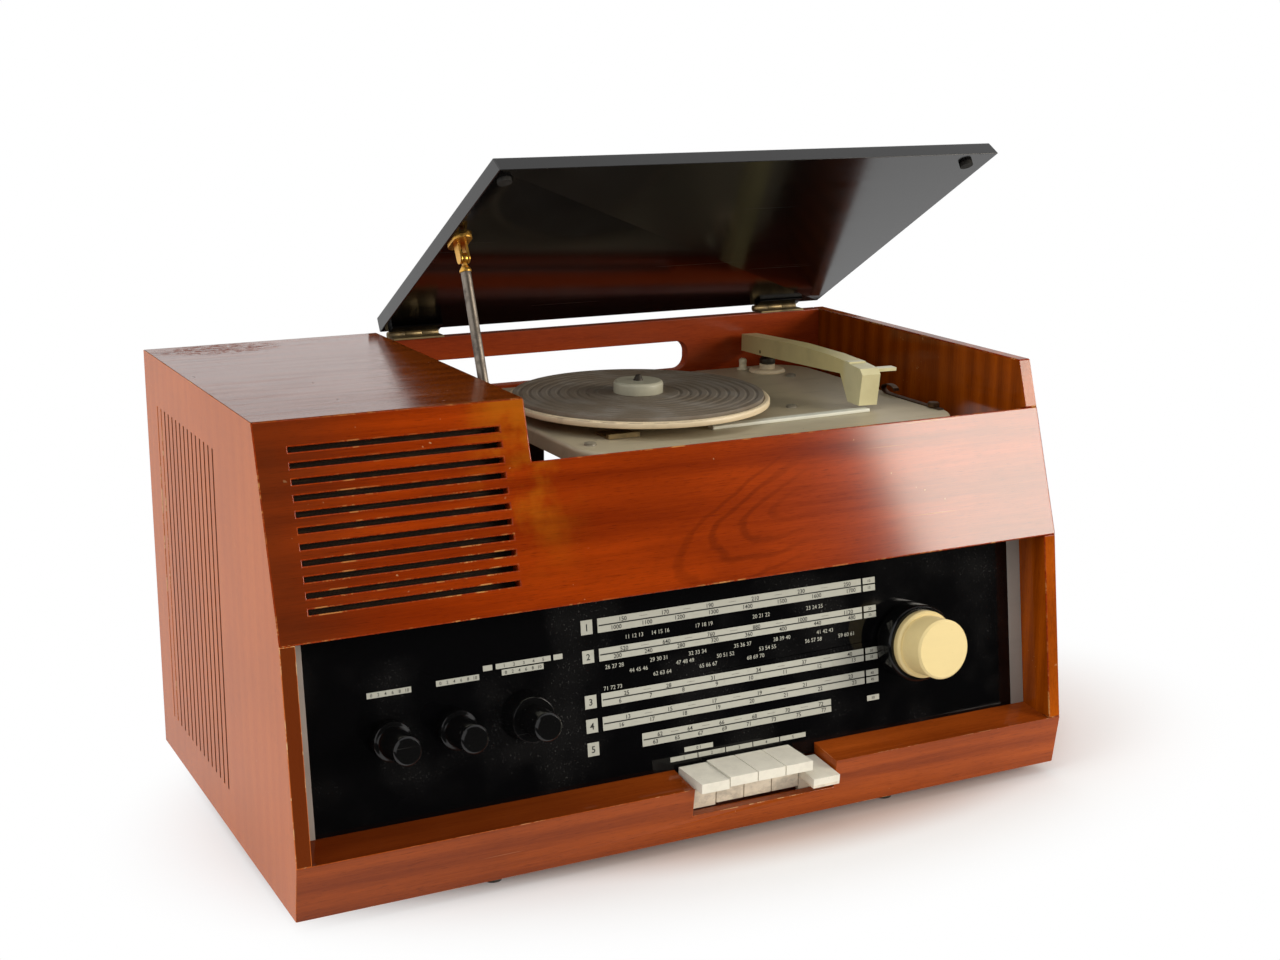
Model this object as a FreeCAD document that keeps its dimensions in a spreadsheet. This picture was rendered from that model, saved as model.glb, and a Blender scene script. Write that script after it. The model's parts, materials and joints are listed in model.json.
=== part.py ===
import FreeCAD, Part
import math
import operator
import os
import types

import Sketcher

# A table radiogram: veneered cabinet, dial and keys in front, record player under a lid.
# Millimetres; +Z up, the front faces -Y; the origin is on the floor under the middle.

SIZES = {
    # Fits shared by every piece
    "overrun": 5,
    "clearance": 0.3,
    "running_fit": 0.05,
    # Cabinet outline, measured from the knee where the leaning front ends above the dial
    "speaker_bay": 180,
    "board": 10,
    "knee_forward": 153,
    "top_set_back": 42.3,
    "lip_height": 38.2,
    "dial_rise": 137.3,
    "front_rise": 130.7,
    "right_step": 5.4,
    "lip_forward": 17.8,
    "toe_forward": 11.9,
    "lip_board": 8,
    "shelf_board": 8,
    "shelf_rise": 3,
    "front_low_drop": 39.8,
    # Feet
    "foot_height": 9,
    "foot_radius": 7.5,
    "foot_toe_radius": 6,
    "foot_side": 155,
    "foot_front": 8,
    "foot_inset": 34.5,
    # Loudspeaker slots in the leaning front, and vents in the left side
    "slot_count": 11,
    "slot_tall": 3.5,
    "slot_low": 17,
    "slot_top_gap": 16.9,
    "slot_inset": 21,
    "slot_gap": 19,
    "vent_count": 15,
    "vent_width": 2,
    "vent_front": 137,
    "vent_inset": 34.5,
    "vent_low": 32,
    "vent_top_gap": 36.2,
    # Back rail with its window, and the hardboard cover below it
    "back_rail_tall": 85.8,
    "window_drop": 18.8,
    "window_tall": 24,
    "window_gap": 30,
    "window_inset": 130,
    "window_corner": 10,
    "cover_board": 3,
    "cover_cut_inset": 165,
    "cover_cut_wide": 94,
    "cover_cut_drop": 15,
    "cover_cut_tall": 50,
    "cover_vent_count": 16,
    "cover_vent_width": 4,
    "cover_vent_pitch": 16,
    "cover_vent_inset": 25,
    "cover_vent_low": 60,
    "cover_vent_tall": 65,
    "gland_inset": 225,
    "gland_height": 40,
    "gland_radius": 7,
    "gland_flange": 2,
    "gland_bore": 3,
    # Lid, in its closed place above the hinge axis
    "lid_open_angle": 30.4,
    "lid_gap": 3,
    "lid_inset": 5,
    "lid_front_gap": 1.2,
    "lid_board": 12,
    "lid_bevel": 7,
    "lid_back_gap": 3.5,
    "lid_rise": 1.7,
    "buffer_radius": 5,
    "buffer_tall": 3,
    "buffer_inset": 8,
    "buffer_right_inset": 21,
    "buffer_front": 14,
    # Butt hinges
    "hinge_wide": 42,
    "hinge_inset": 28,
    "hinge_right_inset": 43,
    "hinge_knuckle": 14,
    "knuckle_radius": 2.6,
    "hinge_pin_radius": 1.2,
    "leaf_thick": 1.5,
    "leaf_deep": 12,
    "axis_above_rail": 2,
    "axis_behind": 3,
    # Lid stay
    "stay_gap": 12,
    "stay_along": 175.4,
    "stay_drop": 12.25,
    "stay_lean": 22.2,
    "stay_reach": 170,
    "stay_tail": 12,
    "stay_radius": 3.6,
    "stay_pin_radius": 1.5,
    "eye_radius": 3.8,
    "eye_wide": 3.4,
    "eye_neck": 2.8,
    "collar_radius": 4.3,
    "collar_start": 5.5,
    "collar_tall": 4.5,
    "collar_top_radius": 2.3,
    "cheek_wide": 1.6,
    "cheek_radius": 4,
    "flange_wide": 14,
    "flange_long": 24,
    "flange_corner": 6.6,
    "flange_thick": 2.5,
    "guide_thick": 2,
    "guide_slot_long": 26,
    "guide_slot_wide": 8,
    "guide_long": 40,
    "guide_wide": 20,
    "guide_foot": 16,
    # Record player deck
    "deck_gap_left": 55,
    "deck_gap_right": 35,
    "deck_front": 52,
    "deck_gap_back": 24.5,
    "deck_drop": 47.2,
    "deck_corner": 34,
    "deck_skirt": 12,
    "deck_sheet": 2,
    "deck_round": 3,
    "rail_wide": 18,
    "rail_tall": 18,
    "rail_lap": 8,
    "screw_head_radius": 4.5,
    "screw_head_tall": 1.6,
    "screw_shank_radius": 2,
    "screw_long": 10,
    "screw_inset": 14,
    "screw_near_across": 115,
    "screw_near_ahead": 31,
    "screw_far_across": 7,
    "screw_far_ahead": 26,
    "motor_radius": 32,
    "motor_tall": 42,
    "motor_across": 43,
    "motor_ahead": 50,
    # Platter, mat and adaptor on the spindle
    "platter_inset": 93,
    "platter_behind": 116,
    "platter_radius": 98,
    "platter_rim_wide": 4,
    "platter_rim_low": 8.8,
    "platter_top": 13.5,
    "platter_web": 3,
    "mat_gap": 0.5,
    "mat_thick": 3.5,
    "mat_lip": 1,
    "mat_rib_count": 9,
    "mat_rib_deep": 0.8,
    "mat_rib_share": 0.75,
    "mat_label_radius": 30,
    "adaptor_radius": 18.5,
    "adaptor_tall": 9,
    "adaptor_round": 1.5,
    "spindle_radius": 3.5,
    "spindle_above": 4,
    "bearing_flange": 14,
    "bearing_flange_tall": 1.5,
    "bearing_radius": 8,
    "bearing_drop": 20,
    # Tone arm
    "arm_across": 174,
    "arm_inset": 43,
    "arm_behind": 104,
    "arm_back_inset": 30,
    "arm_rest_angle": 5,
    "arm_base_radius": 15,
    "arm_base_tall": 3,
    "arm_collar_radius": 6.5,
    "arm_collar_tall": 4,
    "arm_post_tall": 4,
    "arm_shaft_radius": 3,
    "arm_shaft_drop": 10,
    "arm_pivot_height": 17,
    "arm_block_wide": 6,
    "arm_block_long": 10,
    "arm_pin_radius": 1.5,
    "arm_wide": 14,
    "arm_wall": 2,
    "arm_tail": 36,
    "arm_low": 4.7,
    "arm_high": 9.5,
    "arm_pivot_low": 2.9,
    "arm_bend": 60,
    "arm_bend_high": 16.3,
    "arm_crest": 120,
    "arm_crest_high": 18,
    "arm_neck": 142,
    "arm_neck_high": 17.6,
    "arm_neck_low": 6.7,
    "head_front": 177,
    "head_back": 155,
    "head_wide": 15.4,
    "head_drop": 12.5,
    "head_high": 15.5,
    "head_slant": 4,
    "head_wall": 2,
    "tab_long": 21.5,
    "tab_wide": 8,
    "tab_thick": 2.5,
    "tab_low": 10.3,
    "cartridge_long": 16,
    "cartridge_show": 1.5,
    "cartridge_tall": 12,
    "rest_bar_across": 153,
    "rest_bar_long": 138,
    "rest_bar_lead": -4,
    "rest_bar_wide": 8,
    "rest_bar_turn": 2,
    "speed_across": 61,
    "speed_ahead": 74,
    "speed_long": 25,
    "speed_wide": 22,
    "speed_thick": 1.5,
    "speed_lip": 4,
    "speed_tall": 3.5,
    # Dial, on a plane that leans from the lip up to the knee
    "glass_depth": 30,
    "glass_thick": 4,
    "glass_lap": 3.6,
    "trim_wide": 12,
    "plate_gap": 7,
    "plate_thick": 2,
    "plate_low": 8,
    "plate_top_gap": 6,
    "knob_gap": 1,
    "knob_edge": 1.5,
    "shaft_radius": 3,
    "shaft_tail": 12,
    "hole_room": 1,
    "bass_left": 221,
    "treble_left": 176,
    "volume_left": 126,
    "tone_up": 63.5,
    "tone_skirt_radius": 13,
    "tone_skirt_long": 11,
    "tone_radius": 10.5,
    "tone_face_radius": 9.5,
    "tone_long": 39,
    "ring_radius": 17,
    "ring_face_radius": 15,
    "ring_long": 17,
    "ring_tube_radius": 5,
    "ring_tube_tail": 5,
    "volume_long": 41,
    "pot_radius": 12,
    "pot_long": 17,
    "pot_wall": 2,
    "tuning_right": 180,
    "tuning_up": 70.5,
    "tuning_shaft_radius": 4,
    "tuning_shaft_tail": 3,
    "tuning_skirt_radius": 28,
    "tuning_skirt_long": 19,
    "tuning_flange_radius": 24.5,
    "tuning_flange_long": 6,
    "tuning_cap_radius": 21.5,
    "tuning_long": 46,
    # Pointer drive behind the glass
    "cord_radius": 0.5,
    "cord_gap": 8,
    "pulley_radius": 3.5,
    "pulley_left": 95,
    "pulley_right": 165,
    "pulley_drop": 14,
    "drum_right": 20,
    "drum_drop": 49,
    "drum_radius": 45.5,
    "drum_groove": 43,
    "drum_groove_wide": 2,
    "drum_wide": 6,
    "drum_shaft_tail": 18,
    "gang_wide": 52,
    "gang_tall": 48,
    "gang_long": 40,
    "pointer_right": 35,
    "pointer_wide": 1.2,
    "pointer_thick": 1.2,
    "pointer_gap": 3,
    "pointer_low": 26,
    "carriage_wide": 16,
    "carriage_tall": 2.5,
    "carriage_long": 12,
    "guide_rail_tall": 3,
    # Piano keys
    "key_count": 5,
    "key_left": 15.5,
    "key_pitch": 22.2,
    "key_gap": 0.6,
    "key_front": 24,
    "key_glass_gap": 3.6,
    "key_rise": 6.8,
    "key_thick": 7,
    "key_plate_front": 5,
    "key_plate_thick": 3.5,
    "key_plate_drop": 19.2,
    "key_arm_wide": 8,
    "key_arm_drop": 14.2,
    "key_arm_tall": 9,
    "key_arm_end": 6,
    "key_pivot_back": 130,
    "key_pivot_drop": 9.7,
    "key_pin_radius": 3,
    "key_press_angle": 5.2,
    "key_first_angle": 0.5,
    "notch_drop": 20.7,
    "notch_room": 1.3,
    "key_cheek": 3,
    "key_frame_long": 82,
    "key_frame_tail": 12,
    "key_frame_thick": 5,
    # Chassis and what stands on it
    "chassis_gap_left": 15,
    "chassis_gap_right": 15,
    "chassis_gap_front": 25,
    "chassis_gap_back": 26.5,
    "chassis_tall": 40,
    "chassis_sheet": 1.5,
    "mains_wide": 66,
    "mains_long": 58,
    "mains_tall": 62,
    "output_wide": 44,
    "output_long": 38,
    "output_tall": 44,
    "transformer_inset": 15,
    "transformer_gap": 30,
    "transformer_behind": 35,
    "valve_count": 5,
    "valve_radius": 11,
    "valve_tall": 58,
    "valve_tip": 5,
    "valve_inset": 25,
    "valve_pitch": 34,
    "valve_back_inset": 45,
    # Loudspeaker behind the slots
    "cloth_thick": 1,
    "cloth_margin": 4,
    "speaker_low": 5,
    "speaker_top_gap": 8.4,
    "speaker_rim": 10,
    "speaker_flange": 2,
    "speaker_throat": 24,
    "speaker_deep": 34,
    "speaker_sheet": 2,
    "cone_rim": 5,
    "cone_sheet": 1,
    "cone_throat": 15,
    "cone_deep": 26,
    "magnet_radius": 30,
    "magnet_long": 20,
}

doc = FreeCAD.newDocument("Radiogram")
sheet = doc.addObject("Spreadsheet::Sheet", "Sizes")
NODES = []
SIGNS = {"+": operator.add, "-": operator.sub, "*": operator.mul, "/": operator.truediv}


class Size:
    """A number together with the sheet expression that gives it."""

    def __init__(self, value, text):
        self.value = value
        self.text = text

    def __add__(self, other):
        return combine(self, "+", other)

    def __radd__(self, other):
        return combine(other, "+", self)

    def __sub__(self, other):
        return combine(self, "-", other)

    def __rsub__(self, other):
        return combine(other, "-", self)

    def __mul__(self, other):
        return combine(self, "*", other)

    def __rmul__(self, other):
        return combine(other, "*", self)

    def __truediv__(self, other):
        return combine(self, "/", other)

    def __neg__(self):
        return combine(0, "-", self)


def number(size):
    return size.value if isinstance(size, Size) else size


def written(size):
    return size.text if isinstance(size, Size) else str(size)


def combine(left, sign, right):
    value = SIGNS[sign](number(left), number(right))
    return Size(value, f"({written(left)} {sign} {written(right)})")


def slope_angle(across, up):
    ratio = across / up
    return Size(math.degrees(math.atan(ratio.value)), f"atan({ratio.text})")


def sine(angle):
    return Size(math.sin(math.radians(angle.value)), f"sin({angle.text})")


def cosine(angle):
    return Size(math.cos(math.radians(angle.value)), f"cos({angle.text})")


def hypotenuse(across, up):
    total = across * across + up * up
    return Size(math.sqrt(total.value), f"sqrt({total.text})")


def fill_sheet():
    """Writes each size into its own cell and hands back the named sizes."""
    named = types.SimpleNamespace()
    for row, (alias, value) in enumerate(SIZES.items(), start=1):
        sheet.set(f"A{row}", alias)
        sheet.set(f"B{row}", str(value))
        sheet.setAlias(f"B{row}", alias)
        setattr(named, alias, Size(value, f"Sizes.{alias}"))
    doc.recompute()
    return named


d = fill_sheet()
QUARTER_TURN = Size(90, "90 deg")
UP, OUT, IN = "up", "out", "in"
RIGHT = FreeCAD.Vector(1, 0, 0)
LEFT = FreeCAD.Vector(-1, 0, 0)
RISE = FreeCAD.Vector(0, 0, 1)
DOWN = FreeCAD.Vector(0, 0, -1)

# The case goes round what it holds: the record player sets its width and depth
d.deck_long = d.platter_inset + d.arm_across + d.arm_inset
d.deck_deep = d.platter_behind + d.arm_behind + d.arm_back_inset
d.cabinet_width = d.speaker_bay + d.deck_gap_left + d.deck_long + d.deck_gap_right + d.board
d.cabinet_depth = d.deck_front + d.deck_deep + d.deck_gap_back
d.knee_height = d.lip_height + d.dial_rise
d.top_height = d.knee_height + d.front_rise
d.right_height = d.top_height - d.right_step

# Heights and places that several pieces share
base_z = d.foot_height
floor_z = base_z + d.board
knee_z = base_z + d.knee_height
top_z = base_z + d.top_height
right_z = base_z + d.right_height
lip_z = base_z + d.lip_height
deck_z = top_z - d.deck_drop
rail_z = right_z - d.back_rail_tall
knee_y = -d.knee_forward
back_y = knee_y + d.cabinet_depth
top_y = knee_y + d.top_set_back
lip_y = knee_y - d.lip_forward
toe_y = knee_y - d.toe_forward
cover_y = back_y - d.cover_board
half = d.cabinet_width / 2
inner = half - d.board
player_x = d.speaker_bay - half
front_lean = slope_angle(d.top_set_back, d.top_height - d.knee_height)
front_slope = hypotenuse(d.top_set_back, d.top_height - d.knee_height)
lip_lean = slope_angle(d.lip_forward - d.toe_forward, d.lip_height)
dial_lean = slope_angle(d.lip_forward, d.knee_height - d.lip_height)
hinge_y = back_y + d.axis_behind
hinge_z = right_z + d.axis_above_rail
deck_x = player_x + d.deck_gap_left
deck_y = knee_y + d.deck_front
platter_x = deck_x + d.platter_inset
platter_y = deck_y + d.platter_behind
arm_x = platter_x + d.arm_across
arm_y = platter_y + d.arm_behind
stay_x = player_x + d.stay_gap
lid_x = player_x + d.lid_gap
lid_wide = half - d.lid_inset - lid_x
lid_length = hinge_y - top_y - d.lid_front_gap
slot_x = d.slot_inset - half
slot_long = d.speaker_bay - d.slot_inset - d.slot_gap
slot_pitch = (front_slope - d.slot_low - d.slot_top_gap - d.slot_tall) / (SIZES["slot_count"] - 1)

# Depths behind the lip and heights along the dial
pointer_deep = d.glass_depth + d.glass_thick + d.pointer_gap
cord_deep = pointer_deep + d.cord_gap
plate_deep = cord_deep + d.plate_gap
plate_back = plate_deep + d.plate_thick
glass_tall = hypotenuse(d.lip_forward, d.dial_rise) + d.glass_lap
plate_up = glass_tall - d.plate_top_gap
pulley_up = plate_up - d.pulley_drop
drum_up = pulley_up - d.drum_drop
key_pivot_y = knee_y + d.key_pivot_back
key_pivot_z = lip_z - d.key_pivot_drop


def node(thing, name):
    thing.Label = name
    NODES.append(thing)
    return thing


def bind(thing, place, size):
    if isinstance(size, Size):
        thing.setExpression(place, size.text)


def put(thing, x=0, y=0, z=0, axis=None, angle=None):
    """Places a piece; the axis is a direction and the angle follows the sheet."""
    if axis is not None:
        turn = FreeCAD.Rotation(axis, number(angle))
        thing.Placement = FreeCAD.Placement(FreeCAD.Vector(0, 0, 0), turn)
        bind(thing, "Placement.Rotation.Angle", angle)
    for name, size in (("x", x), ("y", y), ("z", z)):
        bind(thing, f"Placement.Base.{name}", size)
    return thing


def put_leaning(thing, origin, lean, x=0, deep=0, up=0, facing=UP):
    """Places a piece on a plane that leans back: deep is inward from it, up is along it."""
    origin_y, origin_z = origin
    y = origin_y + deep * cosine(lean) + up * sine(lean)
    z = origin_z - deep * sine(lean) + up * cosine(lean)
    if facing == OUT:
        return put(thing, x, y, z, RIGHT, QUARTER_TURN - lean)
    if facing == IN:
        return put(thing, x, y, z, LEFT, QUARTER_TURN + lean)
    return put(thing, x, y, z, LEFT, lean)


def on_front(thing, **place):
    return put_leaning(thing, (knee_y, knee_z), front_lean, **place)


def on_dial(thing, **place):
    return put_leaning(thing, (lip_y, lip_z), dial_lean, **place)


def on_lid(thing, x=0):
    return put(thing, x, hinge_y, hinge_z, LEFT, d.lid_open_angle)


def box(name, x, y, z, length, width, height):
    thing = doc.addObject("Part::Box", name)
    for side, size in (("Length", length), ("Width", width), ("Height", height)):
        bind(thing, side, size)
    return put(thing, x, y, z)


def rod(name, x, y, z, radius, length, along="z"):
    thing = doc.addObject("Part::Cylinder", name)
    turns = {
        "x": FreeCAD.Rotation(FreeCAD.Vector(0, 1, 0), 90),
        "y": FreeCAD.Rotation(LEFT, 90),
        "z": FreeCAD.Rotation(),
    }
    thing.Placement = FreeCAD.Placement(FreeCAD.Vector(0, 0, 0), turns[along])
    bind(thing, "Radius", radius)
    bind(thing, "Height", length)
    return put(thing, x, y, z)


def mitred(name, outer_half, outer_low, outer_high, inner_half, inner_low, inner_high, thick):
    """A board whose outer face is at y = 0 and whose ends are cut to meet their neighbours."""
    thing = doc.addObject("Part::Wedge", name)
    thing.Ymin = 0
    bind(thing, "Ymax", thick)
    left, right = outer_half
    left_in, right_in = inner_half
    bind(thing, "Xmin", left)
    bind(thing, "Xmax", right)
    bind(thing, "X2min", left_in)
    bind(thing, "X2max", right_in)
    thing.Zmin = 0
    thing.Z2min = 0
    bind(thing, "Zmin", outer_low)
    bind(thing, "Zmax", outer_high)
    bind(thing, "Z2min", inner_low)
    bind(thing, "Z2max", inner_high)
    return thing


def cut(name, whole, tool):
    thing = doc.addObject("Part::Cut", name)
    thing.Base = whole
    thing.Tool = tool
    return thing


def fuse(name, *pieces):
    thing = doc.addObject("Part::MultiFuse", name)
    thing.Shapes = list(pieces)
    return thing


def group(name, pieces):
    thing = doc.addObject("Part::Compound", name)
    thing.Links = list(pieces)
    return thing


def outline(body, plane, points):
    """Draws a closed outline whose corners follow the sheet."""
    sketch = body.newObject("Sketcher::SketchObject", body.Name + "_outline")
    support = [part for part in body.Origin.OriginFeatures if part.Role == plane]
    sketch.AttachmentSupport = [(support[0], "")]
    sketch.MapMode = "FlatFace"
    corners = [FreeCAD.Vector(number(across), number(up), 0) for across, up in points]
    count = len(corners)
    sketch.addGeometry(
        [Part.LineSegment(corners[i], corners[(i + 1) % count]) for i in range(count)], False
    )
    rules = [Sketcher.Constraint("Coincident", i, 2, (i + 1) % count, 1) for i in range(count)]
    sizes = []
    for i, (across, up) in enumerate(points):
        for kind, size in (("DistanceX", across), ("DistanceY", up)):
            rules.append(Sketcher.Constraint(kind, -1, 1, i, 1, float(number(size))))
            sizes.append(size)
    sketch.addConstraint(rules)
    for i, size in enumerate(sizes):
        bind(sketch, f"Constraints[{count + i}]", size)
    return sketch


def padded(name, plane, points, thick, centred=False):
    """An outline given a thickness along its plane's normal, or to both sides of the plane."""
    body = doc.addObject("PartDesign::Body", name)
    sketch = outline(body, plane, points)
    pad = body.newObject("PartDesign::Pad", name + "_pad")
    pad.Profile = sketch
    if centred:
        pad.SideType = "Symmetric"
    bind(pad, "Length", thick)
    return body


def side_profile(name, points, wide):
    """An outline seen from the side, y then z, carried to the right by its width."""
    return padded(name, "YZ_Plane", points, wide)


def round_edges(body, edges, radius):
    whole = body.Tip
    fillet = body.newObject("PartDesign::Fillet", whole.Name + "_round")
    fillet.Base = (whole, edges)
    bind(fillet, "Radius", radius)


def slab(name, x, y, z, length, width, height, corner):
    """A block with rounded upright corners."""
    points = [(0, 0), (length, 0), (length, width), (0, width)]
    body = padded(name, "XY_Plane", points, height)
    doc.recompute()
    upright = []
    for i, edge in enumerate(body.Tip.Shape.Edges, start=1):
        if edge.BoundBox.ZLength > number(height) / 2:
            upright.append(f"Edge{i}")
    round_edges(body, upright, corner)
    return put(body, x, y, z)


def turned(name, points):
    """A round piece from half its outline, radius then height, about the z axis."""
    body = doc.addObject("PartDesign::Body", name)
    sketch = outline(body, "XZ_Plane", points)
    spin = body.newObject("PartDesign::Revolution", name + "_turn")
    spin.Profile = sketch
    spin.ReferenceAxis = (sketch, ["V_Axis"])
    spin.Angle = 360
    return body


def front_inside(z):
    """How far back the inner face of the leaning front lies at a height."""
    return knee_y + (z - knee_z) * sine(front_lean) / cosine(front_lean) + d.board / cosine(front_lean)


def glass_front(z):
    """How far back the face of the dial glass lies at a height."""
    return lip_y + d.glass_depth / cosine(dial_lean) + (z - lip_z) * sine(dial_lean) / cosine(dial_lean)


def side_outline(height, set_back):
    return [
        (back_y, base_z),
        (back_y, height),
        (set_back, height),
        (knee_y, knee_z),
        (lip_y, lip_z),
        (toe_y, base_z),
    ]


def make_cabinet():
    """Boards of the case, mitred where the veneer runs round a corner."""
    inset = (d.board - d.board * sine(front_lean)) / cosine(front_lean)
    whole_front = mitred(
        "front_whole", (-half, half), 0, front_slope, (-inner, inner), 0, front_slope - inset, d.board
    )
    low = (d.front_rise - d.front_low_drop) / cosine(front_lean)
    opening = box(
        "front_opening",
        player_x,
        -d.overrun,
        low,
        half - player_x + d.overrun,
        d.board + d.overrun * 2,
        front_slope,
    )
    front_blank = on_front(cut("front_blank", whole_front, opening))
    slots = []
    for i in range(SIZES["slot_count"]):
        slots.append(
            box(
                f"slot_{i}",
                slot_x,
                -d.overrun,
                d.slot_low + slot_pitch * i,
                slot_long,
                d.board + d.overrun * 2,
                d.slot_tall,
            )
        )
    node(cut("front_board", front_blank, on_front(group("slots", slots))), "front_panel")

    # The fixed top covers the loudspeaker's side of the case
    top = mitred(
        "top_board",
        (-half, player_x),
        top_y,
        back_y,
        (-inner, player_x),
        top_y + inset,
        back_y,
        d.board,
    )
    node(put(top, 0, 0, top_z, LEFT, QUARTER_TURN), "top_panel")

    # The lip's front board leans the other way, so its edges are cut level
    lip_slope = hypotenuse(d.lip_forward - d.toe_forward, d.lip_height)
    lip_inner_low = -d.lip_board * sine(lip_lean) / cosine(lip_lean)
    lip_inner_high = (d.lip_height - d.lip_board * sine(lip_lean)) / cosine(lip_lean)
    lip_front = mitred(
        "lip_front",
        (-half, half),
        0,
        lip_slope,
        (-inner, inner),
        lip_inner_low,
        lip_inner_high,
        d.lip_board,
    )
    put(lip_front, 0, toe_y, base_z, RIGHT, lip_lean)
    shelf_top = lip_z + d.shelf_rise
    shelf_low = lip_z - d.shelf_board
    shelf = side_profile(
        "shelf",
        [
            (lip_y + d.lip_board / 2, lip_z),
            (glass_front(shelf_top), shelf_top),
            (glass_front(shelf_low), shelf_low),
            (lip_y + d.lip_board / 2, shelf_low),
        ],
        inner * 2,
    )
    put(shelf, -inner)
    notch_left = -d.key_left - d.notch_room
    notch_wide = d.key_pitch * SIZES["key_count"] + d.notch_room * 2
    notch = box(
        "key_notch",
        notch_left,
        lip_y - d.overrun,
        lip_z - d.notch_drop,
        notch_wide,
        d.glass_depth * 2,
        d.lip_height,
    )
    node(cut("lip_board_cut", fuse("lip_whole", lip_front, shelf), notch), "lip_rail")

    # Sides take the mitres of the front, the top and the lip
    left_whole = side_profile("left_whole", side_outline(top_z, top_y), d.board)
    put(left_whole, -half)
    left_cut = cut("left_less_front", left_whole, front_blank)
    left_cut = cut("left_less_top", left_cut, top)
    left_cut = cut("left_less_lip", left_cut, lip_front)
    vent_span = d.cabinet_depth - d.vent_front - d.vent_inset - d.vent_width
    pitch = vent_span / (SIZES["vent_count"] - 1)
    vents = []
    for i in range(SIZES["vent_count"]):
        vents.append(
            box(
                f"vent_{i}",
                -half - d.overrun,
                knee_y + d.vent_front + pitch * i,
                base_z + d.vent_low,
                d.board + d.overrun * 2,
                d.vent_width,
                d.top_height - d.vent_top_gap - d.vent_low,
            )
        )
    node(cut("left_side_board", left_cut, group("vents", vents)), "left_side")
    lean_at_right = d.top_set_back * (d.right_height - d.knee_height) / (d.top_height - d.knee_height)
    right_whole = side_profile("right_whole", side_outline(right_z, knee_y + lean_at_right), d.board)
    put(right_whole, inner)
    right_cut = cut("right_less_front", right_whole, front_blank)
    node(cut("right_side_board", right_cut, lip_front), "right_side")

    # Base board, open under the keys so that a pressed key has room
    base_front = toe_y + d.lip_board / cosine(lip_lean)
    base_whole = box(
        "base_whole", -inner, base_front, base_z, inner * 2, cover_y - base_front, d.board
    )
    well = box(
        "key_well",
        notch_left,
        base_front - d.overrun,
        base_z - d.overrun,
        notch_wide,
        d.lip_board + d.overrun,
        d.board + d.overrun * 2,
    )
    node(cut("base_board_cut", base_whole, well), "base_board")

    # Partition between the loudspeaker and the record player
    under_top = top_z - d.board
    wall_y = lip_y + plate_deep + d.gang_long
    wall = side_profile(
        "partition_wall",
        [
            (wall_y, floor_z),
            (wall_y, knee_z),
            (front_inside(knee_z), knee_z),
            (front_inside(under_top), under_top),
            (cover_y, under_top),
            (cover_y, floor_z),
        ],
        d.board,
    )
    node(put(wall, player_x - d.board), "partition")


def make_back():
    """The rail behind the record player with its window, and the vented cover."""
    rail = box(
        "rail_whole",
        player_x,
        back_y - d.board,
        rail_z,
        inner - player_x,
        d.board,
        d.back_rail_tall,
    )
    window = slab(
        "window",
        0,
        0,
        0,
        inner - player_x - d.window_gap - d.window_inset,
        d.window_tall,
        d.board + d.overrun * 2,
        d.window_corner,
    )
    window_low = right_z - d.window_drop - d.window_tall
    put(window, player_x + d.window_gap, back_y + d.overrun, window_low, RIGHT, QUARTER_TURN)
    node(cut("rail_cut", rail, window), "back_rail")

    low_part = box(
        "cover_low", -inner, cover_y, floor_z, inner * 2, d.cover_board, rail_z - floor_z
    )
    high_part = box(
        "cover_high",
        -inner,
        cover_y,
        floor_z,
        inner + player_x,
        d.cover_board,
        top_z - d.board - floor_z,
    )
    holes = [
        box(
            "cover_window",
            inner - d.cover_cut_inset - d.cover_cut_wide,
            cover_y - d.overrun,
            rail_z - d.cover_cut_drop - d.cover_cut_tall,
            d.cover_cut_wide,
            d.cover_board + d.overrun * 2,
            d.cover_cut_tall,
        ),
        rod(
            "gland_hole",
            inner - d.gland_inset,
            cover_y - d.overrun,
            base_z + d.gland_height,
            d.gland_radius - d.gland_flange,
            d.cover_board + d.overrun * 2,
            "y",
        ),
    ]
    for i in range(SIZES["cover_vent_count"]):
        holes.append(
            box(
                f"cover_vent_{i}",
                d.cover_vent_inset - inner + d.cover_vent_pitch * i,
                cover_y - d.overrun,
                base_z + d.cover_vent_low,
                d.cover_vent_width,
                d.cover_board + d.overrun * 2,
                d.cover_vent_tall,
            )
        )
    whole = fuse("cover_whole", low_part, high_part)
    node(cut("cover_cut", whole, group("cover_holes", holes)), "back_cover")

    neck = d.gland_radius - d.gland_flange
    gland = turned(
        "gland",
        [
            (d.gland_bore, 0),
            (neck, 0),
            (neck, d.cover_board),
            (d.gland_radius, d.cover_board),
            (d.gland_radius, d.cover_board + d.gland_flange),
            (d.gland_bore, d.cover_board + d.gland_flange),
        ],
    )
    put(gland, inner - d.gland_inset, cover_y, base_z + d.gland_height, LEFT, QUARTER_TURN)
    node(gland, "mains_gland")


def make_feet():
    feet = []
    front = knee_y + d.foot_front
    back = back_y - d.foot_inset
    places = [(-d.foot_side, front), (d.foot_side, front), (-d.foot_side, back), (d.foot_side, back)]
    for i, (x, y) in enumerate(places):
        foot = turned(
            f"foot_{i}",
            [(0, 0), (d.foot_toe_radius, 0), (d.foot_radius, d.foot_height), (0, d.foot_height)],
        )
        feet.append(put(foot, x, y, 0))
    node(group("foot_group", feet), "feet")


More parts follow.
